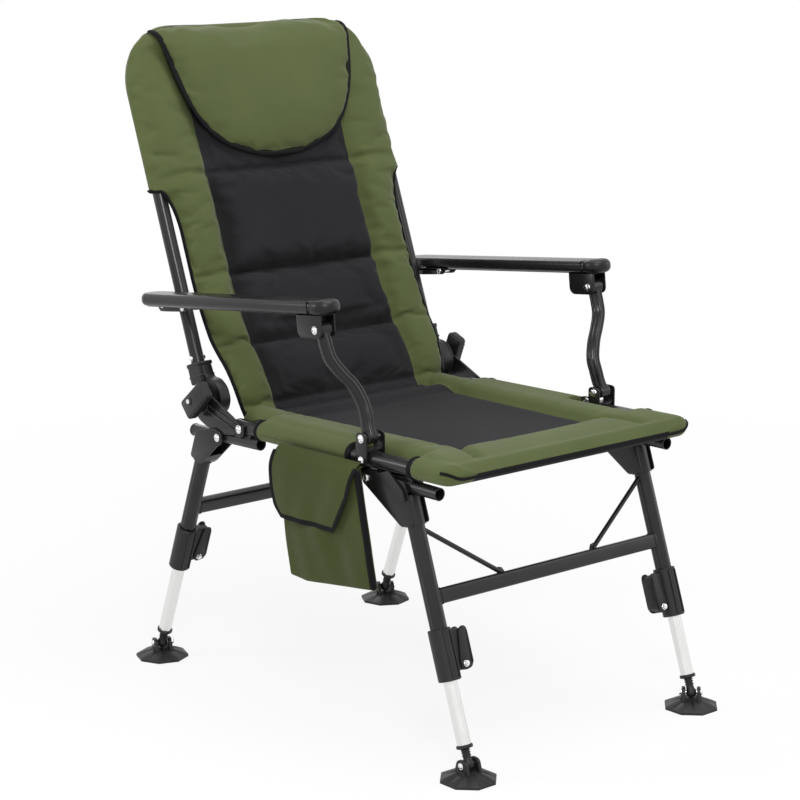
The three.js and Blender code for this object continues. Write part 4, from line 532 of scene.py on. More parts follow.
def lower_tubes(legs, side, hand):
    """The short tube welded under the rail on two saddles, and the leg's pivot through it."""
    ahead, behind, pitch = legs.stub

    def spot(y):
        return legs.x, y, legs.z + (y - legs.y) * math.tan(pitch)

    end = legs.y + behind
    section, bore = ring(LOWER_TUBE_RADIUS, 32), ring(LOWER_TUBE_RADIUS - TUBE_WALL, 32)
    parts = made_of(paint, sweep([spot(legs.y - ahead), spot(end)], section, bore))
    if legs is REAR:
        cap = bar(LOWER_TUBE_RADIUS + 0.6, end - 3, end + 2.5, along="y", edge=1.2)
        parts += made_of(plastic, moved(cap, legs.x, 0, spot(end)[2]))
    for y in legs.saddles:
        x, _, low = spot(y)
        high, joint_z = rail_height(y) - RAIL_RADIUS * 0.6, low + LOWER_TUBE_RADIUS * 0.7
        saddle = block((x - SADDLE_X, y - SADDLE_Y, low), (x + SADDLE_X, y + SADDLE_Y, high))
        beads = [sweep([(edge, y - SADDLE_Y, joint_z), (edge, y + SADDLE_Y, joint_z)], ring(WELD, 10))
                 for edge in (x - SADDLE_X, x + SADDLE_X)]
        parts += made_of(paint, bevelled(saddle, 1.2), *beads)
    fine(f"lower_tube_{legs.name}_{side}", parts, "seat_frame", "black_paint", hand=hand)
    reach = CHEEK_OUTSIDE + GAP
    pivot_bolt(f"leg_pivot_{legs.name}_{side}", f"leg_pivot_bolt_{legs.name}_{side}", 4, legs.x - reach,
               legs.x + reach, legs.y, legs.z, hand)


BRACKET_INNER, DISC_RADIUS, DISC_SPLIT, TEETH, TOOTH = RAIL_X + RAIL_RADIUS + GAP, 26, 6, 24, 1.5
BRACKET_OUTER = BRACKET_INNER + 4
BRACKET_BOLT_Y, BRACKET_FOOT = 240, 13


def toothed(low, high, edge):
    reach, angles = np.tile([DISC_RADIUS - TOOTH, DISC_RADIUS], TEETH), circle(2 * TEETH)
    return bevelled(prism(np.stack([reach * np.cos(angles), reach * np.sin(angles)], 1), low, high), edge, 1)


def recline_brackets(side, hand):
    """A wide plate from the rail bolt up to the fixed half of the toothed joint."""
    y, z = BRACKET_BOLT_Y - HINGE_Y, rail_height(BRACKET_BOLT_Y) - HINGE_Z
    front, low, foot, outer = y - BRACKET_FOOT, z - BRACKET_FOOT, BRACKET_FOOT, BRACKET_OUTER
    hollow = [(17, -25, 0), (2, -37, 0), (-24, -46, 0), (-58, -50, 0), (y + foot + 2, low, 0)]
    hollow = curved(hollow, 6)[::-1, :2]
    curve = [(DISC_RADIUS * math.cos(a), DISC_RADIUS * math.sin(a)) for a in np.linspace(-70, 150, 20) * DEGREE]
    outline = [*rounded([(front, z + foot), (front, low), (y + foot, low)], 9), *hollow, *curve]
    web = bevelled(prism(outline, BRACKET_INNER, outer), 0.8, 3)
    boss = toothed(BACK_TUBE_X + DISC_SPLIT + GAP, BRACKET_INNER + 1, 0.3)
    raised = [button(radius, outer - 1, outer + 1.2, 0.9, 0.7, 48) for radius in (23, 17)]
    ribs = []
    for shift in (-8, 3):
        start, end = np.array([y + 6, z + 3 + shift]), np.array([-19, -6 + shift])
        across = unit(np.array([start[1] - end[1], end[0] - start[0]])) * 1.6
        rib = [start - across, end - across, end + across, start + across]
        ribs.append(bevelled(prism(rib, outer - 0.5, outer + 1.6), 0.7))
    parts = made_of(paint, web, boss, *raised, band(18.2, 19.4, outer, outer + 2.1), *ribs)
    parts += at_spot(bolt_parts(4.2, RAIL_X - RAIL_RADIUS, outer), y=y, z=z)
    rigid(f"recline_plate_{side}", parts, "seat_frame", HINGE, hand, [f"recline_bracket_{side}"])


KNOB_START = BRACKET_OUTER + 0.4
KNOB_ANGLES = {"left": 49 * DEGREE, "right": 22 * DEGREE}


def recline_knob(side, hand):
    """A chunky paddle on the clamping screw: a round-cornered box with ribs, and the screw's end in it."""
    root, start = BACK_TUBE_X - 8, KNOB_START
    hub = [(0, root), (5, root), (5, start), (14, start), (15, start + 1.5), (15, start + 9), (0, start + 10)]
    low, face = start + 7, start + 24
    paddle = plate([(-24, -25), (13, -25), (12, 47), (-22, 47)], 8, low, face, 3.4, steps=7, segments=4)
    ribs = [plate([(-21, z), (9, z), (9, z + 3), (-21, z + 3)], 1, face - 1, face + 0.9, 0.5)
            for z in (18, 25, 32)]
    inset = plate([(-20, -20), (9, -20), (8, 42), (-18, 42)], 6, face - 0.8, face + 0.4, 0.4, steps=6)
    cap = button(8, face - 1, face + 2.2, 1.2, 0.8, 30)
    parts = made_of(plastic, lathe(hub, 36), paddle, *ribs, cap) + made_of(grip, inset)
    parts += made_of(chrome, button(4.2, face, face + 4, 1, 1, 24))
    parts = all_turned(parts, KNOB_ANGLES[side])
    rigid(f"recline_paddle_{side}", parts, f"knob_{side}", HINGE, hand, [f"recline_knob_{side}"])


# Leg frames
GUSSET_NOSE, GUSSET_HALF = 12, 15.5


def gusset(legs):
    """The outline of a leg's cheek plates, round its pivot and down over the top of its tube."""
    way, nose = math.copysign(1, legs.offset), GUSSET_NOSE
    outer, inner = legs.offset + way * GUSSET_HALF, legs.offset - way * GUSSET_HALF
    return [(-way * nose, -nose / 2), (-way * nose, nose / 2), (-way * nose / 2, nose), (way * nose, nose),
            (outer, -legs.top / 2), (outer, -legs.gusset), (inner, -legs.gusset), (-way * nose / 2, -nose)]


def outer_leg(legs, side, hand):
    """A fluted leg tube with its plug and collar, and the cheek plates that hold it on its pivot."""
    def upright(low, high, section, bore=None):
        return sweep([(legs.x, legs.offset, low), (legs.x, legs.offset, high)], section, bore)

    flutes = ring(LEG_RADIUS, 72, FLUTES, 0.9, 0.13)
    tube = upright(-legs.clamp + 13, -legs.top, flutes, ring(INNER_TUBE_RADIUS + 0.4, 72))
    collar = upright(-legs.gusset, -legs.top - SHEET, ring(16.6, 40))
    lip = upright(-legs.gusset - 1.5, -legs.gusset + 2, ring(16.9, 40))
    corners = gusset(legs)
    cheeks = [plate(corners, 6, x, x + SHEET, 0.6) for x in (legs.x - CHEEK_OUTSIDE, legs.x + CHEEK_INSIDE)]
    start, end = np.array(corners[6]), np.array(corners[7])
    far, run = start + (end - start) * 0.42, unit(end - start)
    aside, reach = np.array([run[1], -run[0]]) * math.copysign(SHEET, legs.offset), CHEEK_INSIDE + GAP
    web = prism([start, far, far + aside, start + aside], legs.x - reach, legs.x + reach)
    plug = bar(LEG_RADIUS - TUBE_WALL, -legs.top - 8, -legs.top + 1.2, along="z")
    parts = made_of(paint, tube, collar, lip, *cheeks, bevelled(web, 0.5))
    parts += made_of(plastic, moved(plug, legs.x, legs.offset))
    rigid(f"outer_leg_{legs.name}_{side}", parts, f"{legs.name}_legs", leg_place(legs), hand,
          [f"{legs.name}_leg_{side}"])


def crossbar(legs):
    """A hollow bar between the legs, its ends cut round to meet them, with a weld at each."""
    def across(start, end, section, bore=None):
        return sweep([(x, legs.offset, -legs.bar) for x in (start, end)], section, bore, up=(0, 1, 0))

    section = np.array(rounded([(-10, -12.5), (10, -12.5), (10, 12.5), (-10, 12.5)], 6, 6))
    spots, faces = across(-legs.x, legs.x, section, section * 0.84)
    inset = np.sqrt((LEG_RADIUS - TUBE_WALL / 2) ** 2 - (spots[:, 1] - legs.offset) ** 2)
    spots[:, 0] -= np.sign(spots[:, 0]) * inset
    face = legs.x - LEG_RADIUS
    welds = [bevelled(across(way * (face + 1.5), way * (face - 1.2), section * 1.1), 1.0) for way in (-1, 1)]
    parts = made_of(paint, (spots, faces), *welds)
    fine(f"{legs.name}_crossbar", parts, f"{legs.name}_legs", "black_paint", leg_place(legs))


def brace(side, hand):
    """A thin rod from the front leg's gusset to a tab on its crossbar."""
    y, low = FRONT.offset, -FRONT.bar
    rod = sweep([(FRONT.x - 10, y, -FRONT.gusset - 8), (104, y, low + 12.5)], ring(4, 20))
    tab = prism([(96, low + 11.5), (112, low + 11.5), (108, low + 22), (101, low + 20)], y - 1.5, y + 1.5, "y")
    parts = made_of(paint, rod, bevelled(tab, 0.6))
    rigid(f"brace_{side}", parts, "front_legs", leg_place(FRONT), hand, [f"brace_rod_{side}"])


def spring_clip(side, hand):
    """A moulded clip on the gusset's outer cheek, with three raised bars."""
    low = FRONT.x + CHEEK_OUTSIDE + GAP
    outline = [(-44, -6), (-44, 2.5), (-61, 2.5), (-86, -33), (-86, -50), (-74, -50)]
    body = plate(outline, 4, low, low + 6, 1.2, steps=5, segments=3)
    bars = [bevelled(block((low + 5, -78 + 6 * k, -40 + 7 * k), (low + 6.4, -74 + 6 * k, -30 + 7 * k)), 0.4)
            for k in range(3)]
    rigid(f"spring_clip_{side}", made_of(plastic, body, *bars), "front_legs", leg_place(FRONT),
          hand, [f"leg_clip_{side}"])


CLAMP_RADIUS, CLAMP_LENGTH, CLAMP_REACH, CLAMP_RISE, CLAMP_RIM = 18.5, 82, 30, 20, 1.2


def clamp(legs, side, hand):
    """A ribbed collar on the leg's end, with a lug for the lever's pin."""
    bore, seat = INNER_TUBE_RADIUS + 0.4, LEG_RADIUS + 0.4
    wide, rim, long = CLAMP_RADIUS, CLAMP_RIM, CLAMP_LENGTH
    outside = [(wide - rim, 0), (wide, rim), (wide, long - rim), (wide - rim, long)]
    collar = lathe([(bore, 0), *outside, (seat, long), (seat, 12), (bore, 12), (bore, 0)], 48, "z")
    ribs = [bevelled(block((x, -wide - 0.9, 4), (x + 2.4, -wide + 1.5, long - 4)), 0.5) for x in (-8, 5.6)]
    lug = [(-14.8, 11), (-14.8, 76), (-40, 76), (-40, 22), (-36, 12.5), (-30, 10), (-24, 12.5)]
    parts = made_of(plastic, collar, *ribs, plate(lug, 4, -8, 8, 1.3, "y", segments=3))
    parts += at_spot(all_turned(bolt_parts(3, -11.3, 11.3), QUARTER_TURN, "Z"), -CLAMP_REACH, 0, CLAMP_RISE)
    parts = at_spot(parts, legs.x, legs.offset, -legs.clamp)
    fine(f"leg_clamp_{legs.name}_{side}", parts, f"{legs.name}_legs", "black_plastic", leg_place(legs), hand)


LEVER_TOP, LEVER_BACK = 59, -16.9


def lever(legs, side, hand):
    """A cam lever: two cheeks round the lug, and a ribbed shell between them."""
    top, back = LEVER_TOP, LEVER_BACK
    cheek = [(5, -10), (10, 0), (1, top - 6.5), (-4, top), (-13, top), (back, top - 6.5), (back, 2), (-12, -8)]
    cheeks = [plate(cheek, 6, low, low + 2.5, 0.8, "y", steps=5) for low in (-11, 8.5)]
    shell = plate([(-10.4, -6), (-10.4, top - 3), (back, top - 8), (back, 0)], 3, -11, 11, 1.0, "y")
    ribs = [bevelled(prism([(-11, z), (-11, z + 2), (-17.8, z + 2), (-17.8, z)], -8, 8, "y"), 0.5)
            for z in range(14, 39, 6)]
    parts = made_of(plastic, *cheeks, shell, *ribs)
    parts = at_spot(parts, legs.x - CLAMP_REACH, legs.offset, -legs.clamp + CLAMP_RISE)
    fine(f"clamp_lever_{legs.name}_{side}", parts, f"lever_{legs.name}_{side}", "black_plastic",
         leg_place(legs), hand)


BALL_HEIGHT, BALL_RADIUS = 26, 9.2


def inner_tube(legs, side, hand):
    """A bright fluted tube above its ball, and the plug in its end whose ringed stem carries the ball."""
    flutes = ring(INNER_TUBE_RADIUS, 72, FLUTES, 0.8, 0.2)
    tube = sweep([(0, 0, 30.5), (0, 0, 276.5)], flutes, ring(9.6, 72))
    ball = [(BALL_RADIUS * math.sin(a), BALL_RADIUS * math.cos(a)) for a in np.linspace(math.pi, 0.86, 10)[1:]]
    plug = [(6.2, 12), (6.2, 24), (12.6, 25.5), (13.4, 26.5), (13.4, 30), (12.4, 31), (0, 31)]
    stem = lathe([(0, -BALL_RADIUS), *ball, *plug], 36, "z")
    rings = [lathe([(6, z), (7.4, z + 0.4), (7.4, z + 2.2), (6, z + 2.6)], 30, "z") for z in (12.5, 17, 21)]
    drop = (legs.z - BALL_HEIGHT + legs.offset * math.sin(legs.lean)) / math.cos(legs.lean)
    parts = at_spot(made_of(aluminium, tube) + made_of(plastic, stem, *rings), legs.x, legs.offset, -drop)
    fine(f"inner_tube_{legs.name}_{side}", parts, f"slider_{legs.name}_{side}", "bright_aluminium",
         leg_place(legs), hand)


FOOT_RADIUS, FOOT_SIDES, FOOT_ROWS, FOOT_POINTS = 47, 8, 14, 96
FOOT_TURNS = {("front", "left"): 0, ("front", "right"): -45, ("rear", "left"): 20, ("rear", "right"): -30}


def foot_dome():
    """A plate that is domed up from its lobed rim, with raised spokes."""
    half_side, sides = math.pi / FOOT_SIDES, FOOT_POINTS
    points = [(0, 0, 16.4)]
    for share in np.linspace(0, 1, FOOT_ROWS)[1:]:
        for angle in circle(sides):
            corner = abs(math.remainder(angle - half_side, 2 * half_side)) / half_side
            reach = FOOT_RADIUS * math.cos(half_side) / math.cos((1 - corner) * half_side) * share
            spoke = math.exp(-((corner - 1) / 0.25) ** 2)
            height = 4.2 + 12 * (1 - share**1.6) + 1.6 * (1 - spoke) * math.sin(math.pi * share)
            points.append((reach * math.cos(angle), reach * math.sin(angle), height))
    points += [(x, y, 0) for x, y, _ in points[-sides:]]
    base = len(points) - sides
    faces = [(0, 1 + k, 1 + (k + 1) % sides) for k in range(sides)]
    faces += [(a, d, c, b) for a, b, c, d in bands(FOOT_ROWS, sides, start=1)]
    return np.array(points, float), [*faces, tuple(range(base + sides - 1, base - 1, -1))]


def mud_foot(legs, side, hand):
    """The domed plate with two ears, a cup for the ball, and the bolt through the ball."""
    ear, spine = [(-18, -21), (18, -21), (10, 9), (-10, 9)], [(-20, -21), (20, -21), (8, -8), (-8, -8)]
    ears = [plate(ear, 8, low, low + 6, 1.2, steps=6, segments=3) for low in (9.8, -15.8)]
    spines = [plate(spine, 3, low, low + 3, 0.9) for low in (15.4, -18.4)]
    cup = lathe([(0, -17), (14, -17), (11, -10), (0, -10)], 32, "z")
    parts = made_of(plastic, moved(foot_dome(), z=-BALL_HEIGHT), *ears, *spines, cup)
    parts += bolt_parts(3.2, -15.9, 15.9)
    parts = all_turned(parts, FOOT_TURNS[legs.name, side] * DEGREE, "Z")
    place = shifted(*joint_spot(f"foot_tilt_{legs.name}_{side}"))
    fine(f"mud_foot_{legs.name}_{side}", parts, f"foot_{legs.name}_{side}", "black_plastic", place, hand)


# Back frame and arms
def back_tube_path():
    x, low, high = BACK_TUBE_X, BACK_TUBE_FOOT, BACK_TUBE_TOP
    corners = [(-x, low), (-x, high), (x, high), (x, low)]
    return bent([(x, BACK_TUBE_N, z) for x, z in corners], BACK_TUBE_BEND)


def back_frame():
    flutes, bore = ring(BACK_TUBE_RADIUS, 60, FLUTES, 0.8, 0.14), ring(BACK_TUBE_RADIUS - TUBE_WALL, 60)
    tube = sweep(back_tube_path(), flutes, bore, up=(0, 1, 0))
    right = at_spot(bolt_parts(2.6, BACK_TUBE_X - 12, BACK_TUBE_X + 12), y=BACK_TUBE_N, z=72)
    parts = made_of(paint, tube) + [(mirrored(part), made) for part, made in right] + right
    rigid("back_tube_fine", parts, "backrest", BACK, nodes=["back_frame_tube"])


def recline_socket(side, hand):
    """The moving half of the joint: a moulded housing clamped on the back tube, with a ringed disc."""
    inside, outside = BACK_TUBE_X - BACK_TUBE_RADIUS - 4, BACK_TUBE_X + BACK_TUBE_RADIUS
    split = BACK_TUBE_X + DISC_SPLIT
    face = split - 1
    body = [(-8, 62), (-10, 34), (-28, 28), (-41, 10), (-42, -12), (-30, -28), (-10, -33), (12, -26), (25, -6),
            (24, 62)]
    housing = plate(body, 9, inside, face, 2.8, steps=6, segments=4)
    rings = [moved(band(radius - 1.5, radius + 1.5, face - 2, face + 0.6, 0.3, 56), 0, y, z)
             for radius, y, z in ((28, 0, 0), (33, -8, -1))]
    upper = [(-8, 62), (-8, 27), (24, 27), (24, 62)]
    upper = plate(upper, 5, split - 2, outside + 1.2, 1.6, steps=5, segments=3)
    lips = [plate([(-9.5, high), (-9.5, low), (25.5, low), (25.5, high)], 3, inside - 1, outside + 1.6, 1.0)
            for low, high in ((57, 64), (38, 42))]
    parts = made_of(plastic, toothed(BACK_TUBE_X - 8, split, 0.4), housing, *rings, upper, *lips)
    rigid(f"recline_housing_{side}", parts, "backrest", BACK, hand, [f"recline_socket_{side}"])


ARM_WIDTH, ARM_THICKNESS, ARM_LIFT, ARM_BEHIND, ARM_NOSE = 48, 22, 8.3, 60, 33.894
ARM_CAP_HALF, ARM_CAP_LENGTH = ARM_WIDTH / 2 + 0.8, 38
REAR_CHEEKS, FRONT_CHEEK = (277, 303), 12.5


def stadium(low, high, width):
    """An outline in x and y with round ends, from y low to y high."""
    radius = width / 2
    ends = (low + radius, math.pi), (high - radius, 0)
    return [(radius * math.cos(a), y + radius * math.sin(a)) for y, first in ends
            for a in np.linspace(first, first + math.pi, 16)]


def armrest(side, hand):
    """A moulded bar with a flat top, a lower lip and a rounded end cap, screwed on its two brackets."""
    y, z = arm_front[1:]
    floor = ARM_LIFT - ARM_THICKNESS / 2
    tip, end = y - ARM_NOSE, ARM_BEHIND - 14
    split = tip + ARM_CAP_LENGTH

    def layer(outline, low, high):
        return moved(prism(outline, floor + low, floor + high, "z"), ARM_X)

    top = bevelled(layer(stadium(split - 20, end, ARM_WIDTH), 0, ARM_THICKNESS), 9.2, 8)
    under = bevelled(layer(stadium(tip + 9, end - 9, ARM_WIDTH - 18), -1.2, 2), 0.5)
    parting = bevelled(layer(stadium(split - 20, end + 0.3, ARM_WIDTH + 0.6), 8.2, 9), 0.25)
    nose = [spot for spot in stadium(tip, ARM_BEHIND, 2 * ARM_CAP_HALF) if spot[1] < split - 6]
    nose = [(-ARM_CAP_HALF, split), *nose, (ARM_CAP_HALF, split)]
    cap = bevelled(layer(nose, -0.8, ARM_THICKNESS + 0.6), 10, 8)
    # The joint is a thin band of dark matte binding cloth just behind the end cap: painted shade of the seam between
    # cap and bar.
    half, near, far = ARM_CAP_HALF * 0.985, split + 0.8, split + 2.4
    joint = layer([(-half, near), (half, near), (half, far), (-half, far)], 1.5, ARM_THICKNESS - 1.5)
    roof = floor + 2
    rear = [(-72, roof), (-72, floor - 4), (-66, floor - 9), (-12, -13), (8, -13), (13, -6), (13, roof)]
    low = z - 13
    front = [(y - 15, roof), (y - 15, z - 7), (y - 8, low), (y + 37, low), (y + 45, z - 6), (y + 45, roof)]
    sheets = []
    for outline, radius, low, high, start, stop in (
            (rear, 4, REAR_CHEEKS[0], REAR_CHEEKS[1] + SHEET, -70, -12),
            (front, 6, ARM_X - FRONT_CHEEK - SHEET, ARM_X + FRONT_CHEEK + SHEET, y - 14, y + 44)):
        sheets += [plate(outline, radius, x, x + SHEET, 0.5) for x in (low, high - SHEET)]
        sheets.append(bevelled(block((low, start, floor - SHEET), (high, stop, floor + 1)), 0.5))
    rear_end, reach = REAR_CHEEKS[1] + SHEET + GAP, FRONT_CHEEK + SHEET + GAP
    # The joint band in binding cloth is painted shade, a dark ring where the cap's seam meets the bar.
    parts = made_of(grip, top, under, parting) + made_of(cap_plastic, cap) + made_of(binding, joint)
    parts += made_of(paint, *sheets)
    parts += at_spot(bolt_parts(3, REAR_CHEEKS[0] - GAP, rear_end), y=-58, z=floor - 3)
    rigid(f"armrest_pad_{side}", parts, f"armrest_{side}", ARMS, hand, [f"armrest_{side}"])
    pivot_bolt(f"armrest_front_pivot_{side}", f"armrest_front_bolt_{side}", 3.8, ARM_X - reach, ARM_X + reach,
               y, z, hand, f"armrest_{side}", ARMS)
    spacer = bar(6.5, BACK_TUBE_X + BACK_TUBE_RADIUS, REAR_CHEEKS[0] - GAP, 24)
    spacer = made_of(plastic, moved(spacer, 0, BACK_TUBE_N, ARM_REAR_RISE))
    inner = BACK_TUBE_X - BACK_TUBE_RADIUS - GAP
    pivot_bolt(f"armrest_rear_pivot_{side}", f"armrest_rear_bolt_{side}", 4, inner, rear_end, BACK_TUBE_N,
               ARM_REAR_RISE, hand, "backrest", BACK, spacer)


SUPPORT_ROUTE_SHARES = [(0, 0, 0), (-0.04, 0.12, 0.1), (-0.07, 0.2, 0.2), (-0.04, 0.33, 0.32),
                        (0.21, 0.47, 0.475), (0.6, 0.62, 0.6), (0.92, 0.76, 0.73), (1, 0.88, 0.86), (1, 1, 1)]
SUPPORT_FOOT_X, SUPPORT_EYE = 261, 10.5


def arm_support(side, hand):
    """A fluted oval bar, bent outwards on its way up, with an eye at each end."""
    way = np.array([ARM_X - SUPPORT_FOOT_X, ARM_FRONT_Y - ARM_FOOT_Y, ARM_FRONT_Z - ARM_FOOT_Z])
    route = np.array(SUPPORT_ROUTE_SHARES) * way + [SUPPORT_FOOT_X, 0, 0]
    section = ring(1, 72, FLUTES + 30 * DEGREE, 0.17, 0.27) * [10.4, 12.8]
    eyes = [moved(bar(radius, x - SUPPORT_EYE, x + SUPPORT_EYE, edge=1), 0, y, z)
            for radius, (x, y, z) in ((11, route[0]), (13, route[-1]))]
    parts = made_of(paint, sweep(curved(route, 6), section), *eyes)
    rigid(f"arm_support_fine_{side}", parts, f"arm_support_{side}",
          CHAIR @ shifted(0, ARM_FOOT_Y, ARM_FOOT_Z), hand, [f"arm_support_{side}"])


# Cloth: grids of rows and columns
def cloth(name, rows, materials, pick=lambda r, c: 0, loop=True, place=CHAIR):
    """A surface from rows of points, with cloth coordinates in metres. pick gives a face's material."""
    rows = np.asarray(rows, float)
    height, width = rows.shape[:2]
    cells = [(r, c) for r in range(height - 1) for c in range(width if loop else width - 1)]
    faces = []
    for r, c in cells:
        a, b = r * width + c, r * width + (c + 1) % width
        faces.append((a, b, b + width, a + width))
    piece = finished(name, placed(rows, place), faces, materials, [pick(r, c) for r, c in cells], 60)
    across, along = [np.linalg.norm(np.diff(rows, axis=axis), axis=2).mean(1 - axis) for axis in (1, 0)]
    u = np.concatenate([[0], np.cumsum(across), [across.sum() + across.mean()]]) * MM
    v = np.concatenate([[0], np.cumsum(along)]) * MM
    layer = piece.data.uv_layers.new(name="cloth")
    for polygon, (r, c) in zip(piece.data.polygons, cells):
        for corner, (a, b) in zip(polygon.loop_indices, [(c, r), (c + 1, r), (c + 1, r + 1), (c, r + 1)]):
            layer.data[corner].uv = (u[a], v[b])
    return piece


def gathered(mesh, attribute="co"):
    """Each point's place in a mesh, or its normal."""
    found = np.empty(len(mesh.vertices) * 3, np.float32)
    mesh.vertices.foreach_get(attribute, found)
    return found.reshape(-1, 3).astype(float)


def reshape(piece, points):
    piece.data.vertices.foreach_set("co", points.astype(np.float32).ravel())
    piece.data.update()


SWELL_FRAMES = 16


def swollen(piece, pinned, pressure, cap, slack):
    """Cloth simulation: slack fabric swells between its pinned seams, by less than a cap."""
    scene, start = bpy.context.scene, gathered(piece.data)
    group = piece.vertex_groups.new(name="pinned")
    group.add(np.flatnonzero(pinned).tolist(), 1.0, "REPLACE")
    modifier = piece.modifiers.new("swell", "CLOTH")
    settings = {"quality": 4, "mass": 0.2, "tension_stiffness": 12, "compression_stiffness": 12,
                "shear_stiffness": 6, "bending_stiffness": 0.4, "air_damping": 3, "use_pressure": True,
                "uniform_pressure_force": pressure, "shrink_min": -slack, "vertex_group_mass": group.name,
                "pin_stiffness": 1.5}
    for key, value in settings.items():
        setattr(modifier.settings, key, value)
    modifier.settings.effector_weights.gravity = 0
    modifier.point_cache.frame_start, modifier.point_cache.frame_end = 1, SWELL_FRAMES
    for number in range(1, SWELL_FRAMES + 1):
        scene.frame_set(number)
    evaluated = piece.evaluated_get(bpy.context.evaluated_depsgraph_get())
    way = gathered(evaluated.data) - start
    piece.modifiers.remove(modifier)
    piece.vertex_groups.remove(group)
    scene.frame_set(1)
    length, limit = np.linalg.norm(way, axis=1), cap * MM
    way *= (limit * np.tanh(length / limit) / np.maximum(length, 1e-9))[:, None]
    way[~np.isfinite(way).all(1)] = 0
    reshape(piece, start + way)


def refined(piece):
    modifier = piece.modifiers.new("fine", "SUBSURF")
    modifier.levels = modifier.render_levels = 1
    bpy.context.view_layer.objects.active = piece
    with bpy.context.temp_override(object=piece, active_object=piece, selected_objects=[piece]):
        bpy.ops.object.modifier_apply(modifier=modifier.name)


# Cushions
def rise(distance, reach):
    """A quarter-round rise from a seam, from 0 at the seam to 1 at its reach."""
    share = np.clip(np.asarray(distance, float) / reach, 0, 1)
    return np.sqrt(1 - (1 - share) ** 2)


def fall(value, low, high):
    """A quarter-round fall from 1 at low to 0 at high."""
    return np.sqrt(1 - np.clip((value - low) / (high - low), 0, 1) ** 2)


def bell(value, width):
    return np.exp(-((value / width) ** 2))


def looped(right):
    """A closed loop of places from its right half, whose ends lie in the middle."""
    return right + [(-x, *rest) for x, *rest in right[1:-1]][::-1]


def pinch_spots(length, fixed=(), spacing=40, strength=1.0):
    """Pinches along a seam, as (place, depth, width, reach): at each crossing seam, and scattered between."""
    spots = [(place, 6 * strength, 4.6, 48) for place in fixed]
    place = spacing * rng.uniform(0.2, 0.8)
    while place < length:
        spots.append((place, strength * rng.uniform(1.6, 4), rng.uniform(3.6, 6.5), rng.uniform(16, 36)))
        place += spacing * rng.uniform(0.55, 1.35)
    return spots


def runs(line):
    return np.r_[0, np.cumsum(np.linalg.norm(np.diff(line, axis=0), axis=1))]


def dense(line, step=1.0):
    """A line's places at an even small step, and how far along it each lies."""
    line = np.asarray(line, float)
    run = runs(line)
    places = np.arange(0, run[-1], step)
    return np.stack([np.interp(places, run, line[:, axis]) for axis in range(3)], 1), places


def nearest(points, line):
    """Each point's distance from the nearest of a line's places, and which place that is."""
    tree = kdtree.KDTree(len(line))
    for index, place in enumerate(line):
        tree.insert(place, index)
    tree.balance()
    found = [tree.find(point) for point in points]
    return np.array([hit[2] for hit in found]), np.array([hit[1] for hit in found])


PINCH_SLANT = 0.22


def pinched(piece, rows, seams, held):
    """Pinches and fine gathers run out from each (line, spots, mask, gathers). held is 1 at fixed points."""
    points = rows.reshape(-1, 3)
    push = np.zeros(len(points))
    for line, spots, mask, gathers in seams:
        line, run = dense(line)
        distance, index = nearest(points, line)
        run, edge = run[index], smooth(0.5, 5, distance) * mask.ravel()
        for place, depth, width, reach in spots:
            away = run - place - PINCH_SLANT * distance
            push -= depth * bell(away, width) * bell(distance, reach) * edge
        wave = np.sin(run / 2.9 + 1.9 * np.sin(run / 23) + 1.1 * np.sin(run / 9.1))
        push += gathers * wave * bell(distance, 13) * edge
    push[held.ravel() == 1] = 0
    reshape(piece, gathered(piece.data) + gathered(piece.data, "normal") * push[:, None] * MM)


STITCH, STITCH_GAP, THREAD = 3.4, 2.0, 0.45
STITCH_SHAPE = [(-0.5, 0.25), (-0.35, 0.85), (0, 1), (0.35, 0.85), (0.5, 0.25)]


def stitches(name, line, body, place=CHAIR):
    """A row of sewn stitches, each a small thread laid along the line."""
    ahead, solids = dense(line)[0], []
    for spot in dense(line, STITCH + STITCH_GAP)[0][:-1]:
        near = int(np.linalg.norm(ahead - spot, axis=1).argmin())
        way = unit(ahead[min(near + 2, len(ahead) - 1)] - ahead[max(near - 2, 0)])
        side = unit(np.cross(way, [0.3, 0.2, 0.9]))
        other = np.cross(way, side)
        points = [spot + way * STITCH * share + (side * math.cos(a) + other * math.sin(a)) * thin * THREAD
                  for share, thin in STITCH_SHAPE for a in circle(6)]
        solids.append((np.array(points), bands(5, 6) + [tuple(range(5, -1, -1)), tuple(range(24, 30))]))
    rigid(name, made_of(yarn, *solids), body, place)


def tape(name, edge, body, wide, thick, up=(0, 1, 0), place=CHAIR):
    """Binding tape folded over an edge: a flat oval section carried along the edge."""
    edge = np.array(edge, float)
    edge = edge[np.r_[True, np.linalg.norm(np.diff(edge, axis=0), axis=1) > 0.8]]
    section = ring(1, 16) * [thick / 2, wide / 2]
    rows = sweep(edge, section, up=up)[0].reshape(len(edge), len(section), 3)
    piece = cloth(name, rows, [binding], place=place)
    belongs(piece, body)
    return piece


# Back cover, down to the crease: n is forwards from the seam line, and t up the back
CLOTH_CLEARANCE = 2.2
COVER_LINE = [(0, 206), (-1, 180), (-4, 150), (-9, 116), (-15, 86), (-23, 62), (-31, 40), (-37, 18), (-41, -4),
              (-43, -24), (-45, -42), (-48, -60)]
COVER_TOP, COVER_WIDE, COVER_SLIM, SLEEVE_END, SLEEVE_RUN, COVER_STEP = 659, 276.5, 243, 368, 84, 5.4
CORNER_RADIUS, COVER_SEAM, TOP_ROLL = 115, 161, 38
TOP_START = COVER_TOP - TOP_ROLL
CHANNELS = (-30, 76, 206, 386)
FOLD_HALVES = [(-60, 224), (0, 232), (60, 240), (96, COVER_SLIM)]
PANEL_DEPTHS = [(-60, 8), (40, 17), (76, 21), (110, 27), (380, 27), (390, 7), (659, 6)]
BORDER_DEPTHS = [(-60, 10), (0, 19), (76, 22), (300, 23), (390, 20), (430, 16), (659, 14)]
SLIM_EDGE, SLEEVE_EDGE, WRAP_BEHIND = 8, -BACK_TUBE_N, 14
COVER_PANEL, COVER_BORDER = 25, 17
